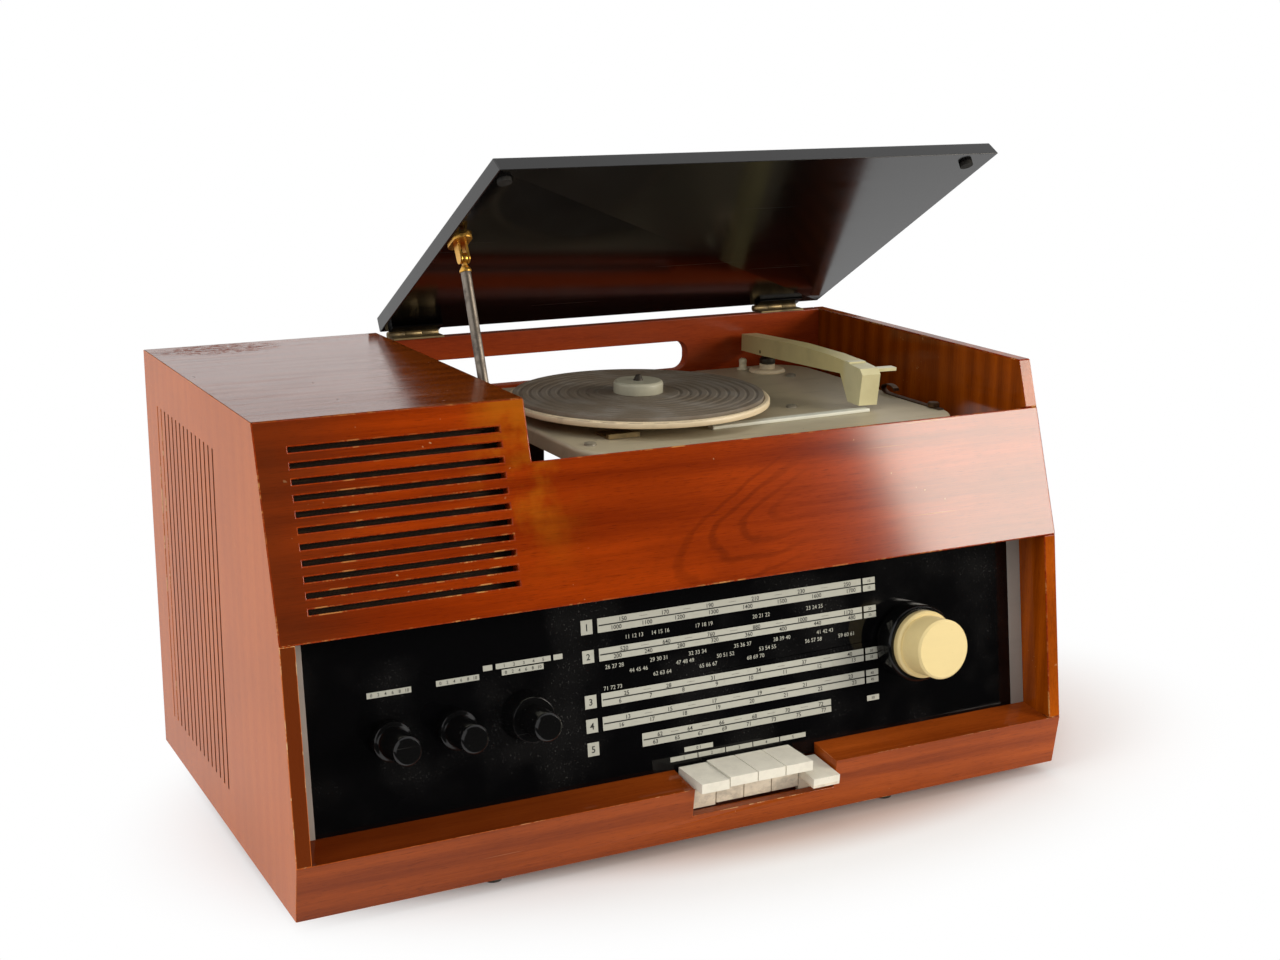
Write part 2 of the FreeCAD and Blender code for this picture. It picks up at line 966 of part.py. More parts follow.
def make_lid():
    """The lid and what is screwed to it, built shut about the hinge axis and swung open."""
    top = d.lid_rise + d.lid_board
    panel = side_profile(
        "lid_slab",
        [
            (-d.lid_back_gap, d.lid_rise),
            (-lid_length, d.lid_rise),
            (d.lid_bevel - lid_length, top),
            (-d.lid_back_gap, top),
        ],
        lid_wide,
    )
    node(on_lid(panel, lid_x), "lid_panel")
    buffers = []
    for i, x in enumerate([lid_x + d.buffer_inset, lid_x + lid_wide - d.buffer_right_inset]):
        buffers.append(
            rod(
                f"buffer_{i}",
                x,
                d.buffer_front - lid_length,
                d.lid_rise - d.buffer_tall,
                d.buffer_radius,
                d.buffer_tall,
            )
        )
    node(on_lid(group("buffers", buffers)), "lid_buffers")


def hinge_leaf(name, centre, low, knuckles):
    """One leaf of a hinge: a plate, and tongues that end in knuckles round the pin."""
    plate_start = d.knuckle_radius + d.clearance
    pieces = [
        box(
            name + "_plate",
            centre - d.hinge_wide / 2,
            -plate_start - d.leaf_deep,
            low,
            d.hinge_wide,
            d.leaf_deep,
            d.leaf_thick,
        )
    ]
    for i, (start, wide) in enumerate(knuckles):
        left = centre + start
        pieces.append(box(f"{name}_tongue_{i}", left, -plate_start, low, wide, plate_start, d.leaf_thick))
        pieces.append(rod(f"{name}_knuckle_{i}", left, 0, 0, d.knuckle_radius, wide, "x"))
    hole = rod(
        name + "_hole",
        centre - d.hinge_wide,
        0,
        0,
        d.hinge_pin_radius + d.running_fit,
        d.hinge_wide * 2,
        "x",
    )
    return cut(name, fuse(name + "_whole", *pieces), hole)


def make_hinges():
    middle = d.hinge_knuckle
    end = (d.hinge_wide - middle) / 2 - d.clearance
    fixed = []
    moving = []
    pins = []
    for side, centre in (
        ("left", lid_x + d.hinge_inset),
        ("right", lid_x + lid_wide - d.hinge_right_inset),
    ):
        ends = [(-d.hinge_wide / 2, end), (d.hinge_wide / 2 - end, end)]
        plate = hinge_leaf(f"{side}_plate", centre, -d.axis_above_rail, ends)
        fixed.append(put(plate, 0, hinge_y, hinge_z))
        leaf = hinge_leaf(f"{side}_leaf", centre, d.lid_rise - d.leaf_thick, [(-middle / 2, middle)])
        moving.append(on_lid(leaf))
        left = centre - d.hinge_wide / 2
        pins.append(rod(f"{side}_pin", left, hinge_y, hinge_z, d.hinge_pin_radius, d.hinge_wide, "x"))
    node(group("fixed_leaves", fixed), "hinge_plates")
    node(group("moving_leaves", moving), "lid_hinge_leaves")
    node(group("pins", pins), "hinge_pins")


def make_stay():
    """The prop that holds the lid: a bracket on the lid, an eye, a rod and its slotted guide."""
    along = -d.stay_along
    drop = -d.stay_drop
    gap = d.eye_wide / 2 + d.clearance
    flange_low = d.lid_rise - d.flange_thick
    pieces = [
        slab(
            "stay_flange",
            stay_x - d.flange_wide / 2,
            along - d.flange_long / 2,
            flange_low,
            d.flange_wide,
            d.flange_long,
            d.flange_thick,
            d.flange_corner,
        )
    ]
    for side, start in (("left", -gap - d.cheek_wide), ("right", gap)):
        pieces.append(
            rod(f"{side}_cheek_round", stay_x + start, along, drop, d.cheek_radius, d.cheek_wide, "x")
        )
        pieces.append(
            box(
                f"{side}_cheek",
                stay_x + start,
                along - d.cheek_radius,
                drop,
                d.cheek_wide,
                d.cheek_radius * 2,
                flange_low - drop,
            )
        )
    pin_wide = (gap + d.cheek_wide) * 2
    pieces.append(rod("stay_pin", stay_x - pin_wide / 2, along, drop, d.stay_pin_radius, pin_wide, "x"))
    node(on_lid(fuse("bracket_whole", *pieces)), "stay_bracket")

    # Pivot of the stay in its rest place
    pivot_y = hinge_y + along * cosine(d.lid_open_angle) + drop * sine(d.lid_open_angle)
    pivot_z = hinge_z - along * sine(d.lid_open_angle) + drop * cosine(d.lid_open_angle)
    rod_start = d.collar_start + d.collar_tall
    neck = d.eye_neck / 2
    collar = turned(
        "eye_collar",
        [
            (0, -rod_start),
            (d.collar_radius, -rod_start),
            (d.collar_radius, -rod_start + d.collar_tall / 3),
            (d.collar_top_radius, -d.collar_start),
            (0, -d.collar_start),
        ],
    )
    eye = fuse(
        "eye_whole",
        rod("eye_ring", -d.eye_wide / 2, 0, 0, d.eye_radius, d.eye_wide, "x"),
        box("eye_neck", -neck, -neck, -d.collar_start, d.eye_neck, d.eye_neck, d.collar_start),
        collar,
    )
    eye_hole = rod("eye_hole", -d.eye_wide, 0, 0, d.stay_pin_radius + d.running_fit, d.eye_wide * 2, "x")
    eye = cut("eye_cut", eye, eye_hole)
    node(put(eye, stay_x, pivot_y, pivot_z, LEFT, d.stay_lean), "stay_eye")
    long = d.stay_reach + d.stay_tail - rod_start
    tip = -long - rod_start
    prop = turned(
        "stay_bar",
        [
            (0, tip),
            (d.stay_radius / 2, tip),
            (d.stay_radius, tip + d.stay_radius / 2),
            (d.stay_radius, -rod_start),
            (0, -rod_start),
        ],
    )
    node(put(prop, stay_x, pivot_y, pivot_z, LEFT, d.stay_lean), "stay_rod")

    # Guide screwed to the partition where the rod passes
    guide_y = pivot_y - d.stay_reach * sine(d.stay_lean)
    guide_z = pivot_z - d.stay_reach * cosine(d.stay_lean)
    left = player_x
    flat = box(
        "guide_flat", left, guide_y - d.guide_long / 2, guide_z, d.guide_wide, d.guide_long, d.guide_thick
    )
    foot = box(
        "guide_foot",
        left,
        guide_y - d.guide_long / 2,
        guide_z - d.guide_foot,
        d.guide_thick,
        d.guide_long,
        d.guide_foot,
    )
    slot = slab(
        "guide_slot",
        stay_x - d.guide_slot_wide / 2,
        guide_y - d.guide_slot_long / 2,
        guide_z - d.overrun,
        d.guide_slot_wide,
        d.guide_slot_long,
        d.guide_thick + d.overrun * 2,
        d.guide_slot_wide / 2 - d.running_fit,
    )
    node(cut("guide_cut", fuse("guide_whole", flat, foot), slot), "stay_guide")


def make_deck():
    """The player's pressed plate on two rails, with its motor below."""
    length = d.deck_long
    width = d.deck_deep
    low = deck_z - d.deck_skirt
    outer = slab("deck_outer", deck_x, deck_y, low, length, width, d.deck_skirt, d.deck_corner)
    doc.recompute()
    ring = []
    for i, edge in enumerate(outer.Tip.Shape.Edges, start=1):
        if edge.BoundBox.ZMin > number(d.deck_skirt - d.clearance):
            ring.append(f"Edge{i}")
    round_edges(outer, ring, d.deck_round)
    hollow = slab(
        "deck_hollow",
        deck_x + d.deck_sheet,
        deck_y + d.deck_sheet,
        low - d.overrun,
        length - d.deck_sheet * 2,
        width - d.deck_sheet * 2,
        d.deck_skirt - d.deck_sheet + d.overrun,
        d.deck_corner - d.deck_sheet,
    )
    holes = [
        hollow,
        rod(
            "bearing_hole",
            platter_x,
            platter_y,
            low,
            d.bearing_radius,
            d.deck_skirt + d.overrun,
        ),
        rod(
            "arm_hole",
            arm_x,
            arm_y,
            low,
            d.arm_shaft_radius + d.hole_room,
            d.deck_skirt + d.overrun,
        ),
    ]
    places = [
        (deck_x + d.screw_inset, deck_y + d.deck_corner),
        (deck_x + d.screw_inset, deck_y + width - d.deck_corner),
        (platter_x + d.screw_near_across, platter_y - d.screw_near_ahead),
        (arm_x + d.screw_far_across, arm_y - d.screw_far_ahead),
    ]
    for i, (x, y) in enumerate(places):
        holes.append(rod(f"screw_hole_{i}", x, y, low, d.screw_shank_radius, d.deck_skirt + d.overrun))
    node(cut("deck_cut", outer, fuse("deck_holes", *holes)), "deck_plate")

    screws = []
    for i, (x, y) in enumerate(places):
        screw = turned(
            f"deck_screw_{i}",
            [
                (0, -d.screw_long),
                (d.screw_shank_radius, -d.screw_long),
                (d.screw_shank_radius, 0),
                (d.screw_head_radius, 0),
                (d.screw_head_radius - d.screw_head_tall / 2, d.screw_head_tall),
                (0, d.screw_head_tall),
            ],
        )
        screws.append(put(screw, x, y, deck_z))
    node(group("screws", screws), "deck_screws")

    rails = []
    for name, y in (
        ("front_rail", deck_y + d.rail_lap - d.rail_wide),
        ("rear_rail", deck_y + width - d.rail_lap),
    ):
        rails.append(
            box(name, player_x, y, low - d.rail_tall, inner - player_x, d.rail_wide, d.rail_tall)
        )
    node(group("rails", rails), "deck_rails")
    motor = rod(
        "motor_can",
        platter_x - d.motor_across,
        platter_y - d.motor_ahead,
        deck_z - d.deck_sheet - d.motor_tall,
        d.motor_radius,
        d.motor_tall,
    )
    node(motor, "turntable_motor")


def make_platter():
    """Spindle, platter, ribbed mat and the large-hole adaptor, all on one axis."""
    x = platter_x
    y = platter_y
    bore = d.spindle_radius + d.running_fit
    mat_top = d.platter_top - d.mat_lip + d.mat_thick
    adaptor_top = mat_top + d.adaptor_tall
    tip = adaptor_top + d.spindle_above
    spindle = turned(
        "spindle_pin",
        [
            (0, -d.bearing_drop),
            (d.bearing_radius, -d.bearing_drop),
            (d.bearing_radius, 0),
            (d.bearing_flange, 0),
            (d.bearing_flange, d.bearing_flange_tall),
            (d.spindle_radius, d.bearing_flange_tall),
            (d.spindle_radius, tip - d.spindle_radius),
            (d.spindle_radius / 2, tip),
            (0, tip),
        ],
    )
    node(put(spindle, x, y, deck_z), "platter_spindle")
    hub_low = d.bearing_flange_tall + d.clearance
    web_top = d.platter_top - d.mat_lip
    rim_in = d.platter_radius - d.platter_rim_wide
    dish = turned(
        "platter_dish",
        [
            (bore, hub_low),
            (d.bearing_flange, hub_low),
            (d.bearing_flange, web_top - d.platter_web),
            (rim_in, web_top - d.platter_web),
            (rim_in, d.platter_rim_low),
            (d.platter_radius, d.platter_rim_low),
            (d.platter_radius, d.platter_top - d.mat_lip),
            (d.platter_radius - d.mat_lip, d.platter_top),
            (rim_in, d.platter_top),
            (rim_in, web_top),
            (bore, web_top),
        ],
    )
    node(put(dish, x, y, deck_z), "platter")

    # Ribs are steps cut into the mat between its rim and the label
    mat_radius = rim_in - d.mat_gap
    points = [(bore, web_top), (mat_radius, web_top), (mat_radius, mat_top)]
    span = (mat_radius - d.mat_label_radius) / SIZES["mat_rib_count"]
    for i in range(SIZES["mat_rib_count"]):
        edge = mat_radius - span * i
        points.append((edge - span / 2, mat_top))
        points.append((edge - span * d.mat_rib_share, mat_top - d.mat_rib_deep))
        points.append((edge - span, mat_top))
    points.append((bore, mat_top))
    node(put(turned("mat_disc", points), x, y, deck_z), "platter_mat")
    adaptor = turned(
        "adaptor_disc",
        [
            (bore, mat_top),
            (d.adaptor_radius, mat_top),
            (d.adaptor_radius, adaptor_top - d.adaptor_round),
            (d.adaptor_radius - d.adaptor_round, adaptor_top),
            (bore, adaptor_top),
        ],
    )
    node(put(adaptor, x, y, deck_z), "centre_adaptor")


def on_arm(thing):
    """Places a piece drawn about the arm's lift pivot."""
    return put(thing, arm_x, arm_y, deck_z + d.arm_pivot_height, DOWN, d.arm_rest_angle)


def centred_profile(name, points, wide):
    """A side outline whose width is shared by both sides of x = 0."""
    return padded(name, "YZ_Plane", points, wide, centred=True)


def make_tone_arm():
    """Base, swinging post, and the hollow arm that lifts about a cross pin."""
    x = arm_x
    y = arm_y
    bore = d.arm_shaft_radius + d.running_fit
    collar_top = d.arm_base_tall + d.arm_collar_tall
    base = turned(
        "arm_base_disc",
        [
            (bore, 0),
            (d.arm_base_radius, 0),
            (d.arm_base_radius, d.arm_base_tall / 2),
            (d.arm_base_radius - d.arm_base_tall / 2, d.arm_base_tall),
            (d.arm_collar_radius, d.arm_base_tall),
            (d.arm_collar_radius, collar_top),
            (bore, collar_top),
        ],
    )
    node(put(base, x, y, deck_z), "arm_base")
    post_low = collar_top + d.clearance - d.arm_pivot_height
    post_high = post_low + d.arm_post_tall
    post = fuse(
        "post_whole",
        rod(
            "post_shaft",
            0,
            0,
            -d.arm_pivot_height - d.arm_shaft_drop,
            d.arm_shaft_radius,
            d.arm_shaft_drop + collar_top + d.arm_post_tall,
        ),
        rod("post_collar", 0, 0, post_low, d.arm_collar_radius, d.arm_post_tall),
        box(
            "post_block",
            -d.arm_block_wide / 2,
            -d.arm_block_long / 2,
            post_high,
            d.arm_block_wide,
            d.arm_block_long,
            d.arm_pin_radius * 2 - post_high,
        ),
        rod("post_pin", -d.arm_wide / 2, 0, 0, d.arm_pin_radius, d.arm_wide, "x"),
    )
    node(on_arm(post), "arm_post")

    beam = centred_profile(
        "arm_beam",
        [
            (d.arm_tail, -d.arm_low),
            (d.arm_tail, d.arm_high),
            (-d.arm_bend, d.arm_bend_high),
            (-d.arm_crest, d.arm_crest_high),
            (-d.arm_neck, d.arm_neck_high),
            (-d.head_back, d.arm_neck_high),
            (-d.head_back, d.arm_neck_low),
            (-d.arm_neck, d.arm_neck_low),
            (0, -d.arm_pivot_low),
        ],
        d.arm_wide,
    )
    head = centred_profile(
        "arm_head",
        [
            (-d.arm_neck, d.arm_neck_low),
            (-d.arm_neck, d.arm_neck_high),
            (-d.head_front + d.head_slant, d.head_high),
            (-d.head_front, d.head_high - d.head_slant),
            (-d.head_front + d.head_slant, -d.head_drop),
            (-d.head_back, -d.head_drop),
        ],
        d.head_wide,
    )
    tab = box(
        "finger_tab",
        0,
        -d.head_back - d.tab_wide,
        d.tab_low,
        d.head_wide / 2 + d.tab_long,
        d.tab_wide,
        d.tab_thick,
    )
    channel = centred_profile(
        "arm_channel",
        [
            (d.arm_tail - d.arm_wall, -d.arm_low - d.overrun),
            (d.arm_tail - d.arm_wall, d.arm_high - d.arm_wall),
            (-d.arm_bend, d.arm_bend_high - d.arm_wall),
            (-d.arm_crest, d.arm_crest_high - d.arm_wall),
            (-d.arm_neck, d.arm_neck_high - d.arm_wall),
            (-d.arm_neck, d.arm_neck_low - d.overrun),
            (0, -d.arm_pivot_low - d.overrun),
        ],
        d.arm_wide - d.arm_wall * 2,
    )
    cavity = centred_profile(
        "head_cavity",
        [
            (-d.head_back - d.cartridge_long, -d.head_drop - d.overrun),
            (-d.head_back - d.cartridge_long, d.cartridge_tall - d.cartridge_show - d.head_drop),
            (-d.head_back, d.cartridge_tall - d.cartridge_show - d.head_drop),
            (-d.head_back, -d.head_drop - d.overrun),
        ],
        d.head_wide - d.head_wall * 2,
    )
    pin_hole = rod("arm_pin_hole", -d.arm_wide, 0, 0, d.arm_pin_radius + d.running_fit, d.arm_wide * 2, "x")
    arm = cut("arm_cut", fuse("arm_whole", beam, head, tab), fuse("arm_hollows", channel, cavity, pin_hole))
    node(on_arm(arm), "tonearm")
    cartridge = centred_profile(
        "cartridge_block",
        [
            (-d.head_back - d.cartridge_long, -d.head_drop),
            (-d.head_back - d.cartridge_long, d.cartridge_tall - d.cartridge_show - d.head_drop),
            (-d.head_back, d.cartridge_tall - d.cartridge_show - d.head_drop),
            (-d.head_back, -d.head_drop),
            (-d.head_back - d.cartridge_long / 2, -d.head_drop - d.cartridge_show),
        ],
        d.head_wide - d.head_wall * 2,
    )
    node(on_arm(cartridge), "pickup_cartridge")
    bar_tall = d.arm_pivot_height - d.head_drop - d.cartridge_show - d.clearance
    bar = box("rest_bar", 0, 0, 0, d.rest_bar_long, d.rest_bar_wide, bar_tall)
    bar_y = arm_y - d.head_front + d.rest_bar_lead
    put(bar, arm_x - d.rest_bar_across, bar_y, deck_z, RISE, d.rest_bar_turn)
    node(bar, "arm_rest_bar")


def make_speed_lever():
    """A flat slide under the platter's edge, with a lip at its front for a finger."""
    low = deck_z + d.clearance
    x = platter_x - d.speed_across
    y = platter_y - d.speed_ahead
    lever = fuse(
        "speed_whole",
        box("speed_slide", x, y, low, d.speed_long, d.speed_wide, d.speed_thick),
        box("speed_lip_bar", x, y, low, d.speed_long, d.speed_lip, d.speed_tall),
    )
    node(lever, "speed_lever")


def dial_hole(name, x, up, radius):
    return rod(name, x, -d.overrun, up, radius, plate_back + d.overrun * 2, "y")


def make_dial():
    """Glass between its end trims, and the steel plate that carries the controls."""
    glass_half = inner - d.trim_wide
    glass = box("glass_whole", -glass_half, d.glass_depth, 0, glass_half * 2, d.glass_thick, glass_tall)
    rooms = [
        ("bass", -d.bass_left, d.tone_up, d.shaft_radius),
        ("treble", -d.treble_left, d.tone_up, d.shaft_radius),
        ("volume", -d.volume_left, d.tone_up, d.ring_tube_radius),
        ("tuning", d.tuning_right, d.tuning_up, d.tuning_shaft_radius),
    ]
    holes = [dial_hole(f"{name}_glass_hole", x, up, r + d.hole_room) for name, x, up, r in rooms]
    node(on_dial(cut("glass_cut", glass, group("glass_holes", holes))), "dial_glass")
    trims = []
    for name, x in (("left_trim", -inner), ("right_trim", glass_half)):
        trims.append(box(name, x, d.glass_depth, 0, d.trim_wide, d.glass_thick, glass_tall))
    node(on_dial(group("trims", trims)), "dial_trims")

    steel = box(
        "plate_whole",
        -inner,
        plate_deep,
        d.plate_low,
        inner * 2,
        d.plate_thick,
        plate_up - d.plate_low,
    )
    stand = d.plate_gap + d.drum_wide / 2
    bosses = [
        rod("left_pulley", -d.pulley_left, plate_deep - stand, pulley_up, d.pulley_radius, stand, "y"),
        rod("right_pulley", d.pulley_right, plate_deep - stand, pulley_up, d.pulley_radius, stand, "y"),
        box(
            "pointer_rail",
            -d.pulley_left,
            plate_deep - stand,
            plate_up - d.guide_rail_tall,
            d.pulley_left + d.pulley_right,
            stand,
            d.guide_rail_tall,
        ),
    ]
    steel = fuse("plate_fused", steel, *bosses)
    holes = []
    for name, x, up, radius in rooms:
        holes.append(dial_hole(f"{name}_plate_hole", x, up, radius + d.running_fit))
    holes.append(dial_hole("drum_plate_hole", d.drum_right, drum_up, d.shaft_radius + d.running_fit))
    node(on_dial(cut("plate_cut", steel, group("plate_holes", holes))), "dial_plate")


def knob(name, points, x, up, label):
    """A control turned about its shaft; heights run outward from the glass."""
    node(on_dial(turned(name, points), x=x, deep=d.glass_depth, up=up, facing=OUT), label)


def make_knobs():
    reach = plate_back - d.glass_depth
    shaft_in = reach + d.shaft_tail
    tube_in = reach + d.ring_tube_tail
    tuning_in = reach + d.tuning_shaft_tail
    tone = [
        (0, -shaft_in),
        (d.shaft_radius, -shaft_in),
        (d.shaft_radius, d.knob_gap),
        (d.tone_skirt_radius, d.knob_gap),
        (d.tone_skirt_radius, d.tone_skirt_long),
        (d.tone_radius, d.tone_skirt_long + d.knob_edge),
        (d.tone_face_radius, d.tone_long - d.knob_edge),
        (d.tone_face_radius - d.knob_edge, d.tone_long),
        (0, d.tone_long),
    ]
    knob("bass_turned", tone, -d.bass_left, d.tone_up, "bass_knob")
    knob("treble_turned", tone, -d.treble_left, d.tone_up, "treble_knob")
    ring_bore = d.shaft_radius + d.clearance
    ring = [
        (ring_bore, -tube_in),
        (d.ring_tube_radius, -tube_in),
        (d.ring_tube_radius, d.knob_gap),
        (d.ring_radius, d.knob_gap),
        (d.ring_face_radius, d.ring_long),
        (ring_bore, d.ring_long),
    ]
    knob("ring_turned", ring, -d.volume_left, d.tone_up, "aerial_ring")
    volume_low = d.ring_long + d.clearance
    volume = [
        (0, -shaft_in),
        (d.shaft_radius, -shaft_in),
        (d.shaft_radius, volume_low),
        (d.tone_radius, volume_low),
        (d.tone_face_radius, d.volume_long - d.knob_edge),
        (d.tone_face_radius - d.knob_edge, d.volume_long),
        (0, d.volume_long),
    ]
    knob("volume_turned", volume, -d.volume_left, d.tone_up, "volume_knob")
    skirt = [
        (0, -tuning_in),
        (d.tuning_shaft_radius, -tuning_in),
        (d.tuning_shaft_radius, d.knob_gap),
        (d.tuning_skirt_radius - d.knob_edge, d.knob_gap),
        (d.tuning_skirt_radius, d.knob_gap + d.knob_edge),
        (d.tuning_skirt_radius, d.tuning_skirt_long - d.knob_edge),
        (d.tuning_skirt_radius - d.knob_edge, d.tuning_skirt_long),
        (0, d.tuning_skirt_long),
    ]
    knob("skirt_turned", skirt, d.tuning_right, d.tuning_up, "tuning_skirt")
    flange_top = d.tuning_skirt_long + d.tuning_flange_long
    cap = [
        (0, d.tuning_skirt_long),
        (d.tuning_flange_radius, d.tuning_skirt_long),
        (d.tuning_flange_radius, flange_top - d.knob_edge),
        (d.tuning_flange_radius - d.knob_edge, flange_top),
        (d.tuning_cap_radius, flange_top),
        (d.tuning_cap_radius, d.tuning_long - d.knob_edge),
        (d.tuning_cap_radius - d.knob_edge, d.tuning_long),
        (0, d.tuning_long),
    ]
    knob("cap_turned", cap, d.tuning_right, d.tuning_up, "tuning_cap")

    # The resistors and switches behind the plate, each with a bore for its shaft
    pots = []
    for name, x, bore in (
        ("bass", -d.bass_left, d.shaft_radius),
        ("treble", -d.treble_left, d.shaft_radius),
        ("volume", -d.volume_left, d.ring_tube_radius),
    ):
        fit = bore + d.running_fit
        pot = turned(
            f"{name}_pot",
            [
                (fit, 0),
                (d.pot_radius, 0),
                (d.pot_radius, d.pot_long),
                (0, d.pot_long),
                (0, d.pot_long - d.pot_wall),
                (fit, d.pot_long - d.pot_wall),
            ],
        )
        pots.append(on_dial(pot, x=x, deep=plate_back, up=d.tone_up, facing=IN))
    node(group("pots", pots), "potentiometers")


def belt_wire(wheels):
    """The closed path of a tight cord round wheels given in order as x, z and radius."""
    runs = []
    count = len(wheels)
    for i in range(count):
        x0, z0, r0 = wheels[i]
        x1, z1, r1 = wheels[(i + 1) % count]
        reach = math.hypot(x1 - x0, z1 - z0)
        heading = math.atan2(z1 - z0, x1 - x0)
        swing = heading - math.acos((r0 - r1) / reach)
        side = (math.cos(swing), math.sin(swing))
        runs.append(((x0 + r0 * side[0], z0 + r0 * side[1]), (x1 + r1 * side[0], z1 + r1 * side[1])))
    edges = []
    for i in range(count):
        start, end = [FreeCAD.Vector(x, 0, z) for x, z in runs[i]]
        edges.append(Part.LineSegment(start, end).toShape())
        x, z, radius = wheels[(i + 1) % count]
        leave = FreeCAD.Vector(runs[(i + 1) % count][0][0], 0, runs[(i + 1) % count][0][1])
        middle = (end - FreeCAD.Vector(x, 0, z)) + (leave - FreeCAD.Vector(x, 0, z))
        middle = FreeCAD.Vector(x, 0, z) + middle.normalize() * radius
        edges.append(Part.Arc(end, middle, leave).toShape())
    return Part.Wire(edges)


def make_pointer_drive():
    """Drum and pointer, joined to the tuning shaft by a closed cord."""
    groove_low = (d.drum_wide - d.drum_groove_wide) / 2
    groove_high = d.drum_wide - groove_low
    deep = cord_deep + d.drum_wide / 2
    shaft_in = plate_back - deep + d.drum_shaft_tail
    drum = [
        (0, -shaft_in),
        (d.shaft_radius, -shaft_in),
        (d.shaft_radius, 0),
        (d.drum_radius, 0),
        (d.drum_radius, groove_low),
        (d.drum_groove, groove_low),
        (d.drum_groove, groove_high),
        (d.drum_radius, groove_high),
        (d.drum_radius, d.drum_wide),
        (0, d.drum_wide),
    ]
    drum_body = on_dial(turned("drum_turned", drum), x=d.drum_right, deep=deep, up=drum_up, facing=OUT)
    node(drum_body, "tuning_drum")
    can = box(
        "gang_whole",
        d.drum_right - d.gang_wide / 2,
        plate_back,
        drum_up - d.gang_tall / 2,
        d.gang_wide,
        d.gang_long,
        d.gang_tall,
    )
    bore = rod(
        "gang_bore",
        d.drum_right,
        plate_back - d.overrun,
        drum_up,
        d.shaft_radius + d.running_fit,
        d.overrun + d.gang_long / 2,
        "y",
    )
    node(on_dial(cut("gang_cut", can, bore)), "gang_capacitor")

    room = d.clearance + d.cord_radius
    wheels = []
    for x, up, radius in (
        (-d.pulley_left, pulley_up, d.pulley_radius),
        (d.drum_right, drum_up, d.drum_groove),
        (d.tuning_right, d.tuning_up, d.tuning_shaft_radius),
        (d.pulley_right, pulley_up, d.pulley_radius),
    ):
        wheels.append((number(x), number(up), number(radius + room)))
    path = belt_wire(wheels)
    path.translate(FreeCAD.Vector(0, number(cord_deep), 0))
    start = path.Edges[0]
    along = start.tangentAt(start.FirstParameter)
    centre = start.valueAt(start.FirstParameter)
    section = Part.Wire([Part.makeCircle(number(d.cord_radius), centre, along)])
    cord = doc.addObject("Part::Feature", "cord_loop")
    cord.Shape = path.makePipeShell([section], True, False)
    lean = FreeCAD.Rotation(LEFT, number(dial_lean))
    cord.Placement = FreeCAD.Placement(FreeCAD.Vector(0, number(lip_y), number(lip_z)), lean)
    node(cord, "dial_cord")

    carriage_low = plate_up - d.guide_rail_tall - d.clearance - d.carriage_tall
    pointer = fuse(
        "pointer_whole",
        box(
            "pointer_needle",
            d.pointer_right - d.pointer_wide / 2,
            pointer_deep,
            d.pointer_low,
            d.pointer_wide,
            d.pointer_thick,
            carriage_low + d.carriage_tall - d.pointer_low,
        ),
        box(
            "pointer_carriage",
            d.pointer_right - d.carriage_wide / 2,
            pointer_deep,
            carriage_low,
            d.carriage_wide,
            d.carriage_long,
            d.carriage_tall,
        ),
    )
    node(on_dial(pointer), "dial_pointer")


def make_keys():
    """Five piano keys on one shaft, with the frame of their switch."""
    wide = d.key_pitch - d.key_gap
    cap_front = -d.key_front - d.key_pivot_back
    cap_high = d.key_pivot_drop + d.key_rise
    cap_low = cap_high - d.key_thick
    cap_back = glass_front(lip_z + d.key_rise) - d.key_glass_gap - key_pivot_y
    face_front = -d.key_plate_front - d.key_pivot_back
    face_back = face_front + d.key_plate_thick
    face_low = d.key_pivot_drop - d.key_plate_drop
    arm_low = d.key_pivot_drop - d.key_arm_drop
    outline_points = [
        (cap_front, cap_low),
        (cap_front, cap_high),
        (cap_back, cap_high),
        (cap_back, cap_low),
        (face_back, cap_low),
        (face_back, face_low),
        (face_front, face_low),
        (face_front, cap_low),
    ]
    last = SIZES["key_count"] - 1
    for i in range(SIZES["key_count"]):
        arm = box(
            f"key_arm_{i}",
            -d.key_arm_wide / 2,
            face_back,
            arm_low,
            d.key_arm_wide,
            d.key_arm_end - face_back,
            d.key_arm_tall,
        )
        hole = rod(
            f"key_hole_{i}",
            -d.key_arm_wide,
            0,
            0,
            d.key_pin_radius + d.running_fit,
            d.key_arm_wide * 2,
            "x",
        )
        face = centred_profile(f"key_face_{i}", outline_points, wide)
        key = cut(f"key_cut_{i}", fuse(f"key_whole_{i}", face, arm), hole)
        x = d.key_pitch * i + d.key_pitch / 2 - d.key_left
        if i == 0:
            put(key, x, key_pivot_y, key_pivot_z, RIGHT, d.key_first_angle)
        elif i == last:
            put(key, x, key_pivot_y, key_pivot_z, RIGHT, d.key_press_angle)
        else:
            put(key, x, key_pivot_y, key_pivot_z)
        node(key, f"key_{i + 1}")

    span = d.key_pitch * SIZES["key_count"]
    front = key_pivot_y + d.key_frame_tail - d.key_frame_long
    left = -d.key_left - d.key_cheek
    wide = span + d.key_cheek * 2
    pieces = [
        box("key_frame_base", left, front, floor_z, wide, d.key_frame_long, d.key_frame_thick),
        rod("key_shaft", left, key_pivot_y, key_pivot_z, d.key_pin_radius, wide, "x"),
    ]
    for name, x in (("left_key_cheek", left), ("right_key_cheek", span - d.key_left)):
        pieces.append(
            box(
                name,
                x,
                key_pivot_y - d.key_pin_radius * 2,
                floor_z,
                d.key_cheek,
                d.key_pin_radius * 4,
                key_pivot_z + d.key_pin_radius * 2 - floor_z,
            )
        )
    node(fuse("key_frame_whole", *pieces), "key_frame")


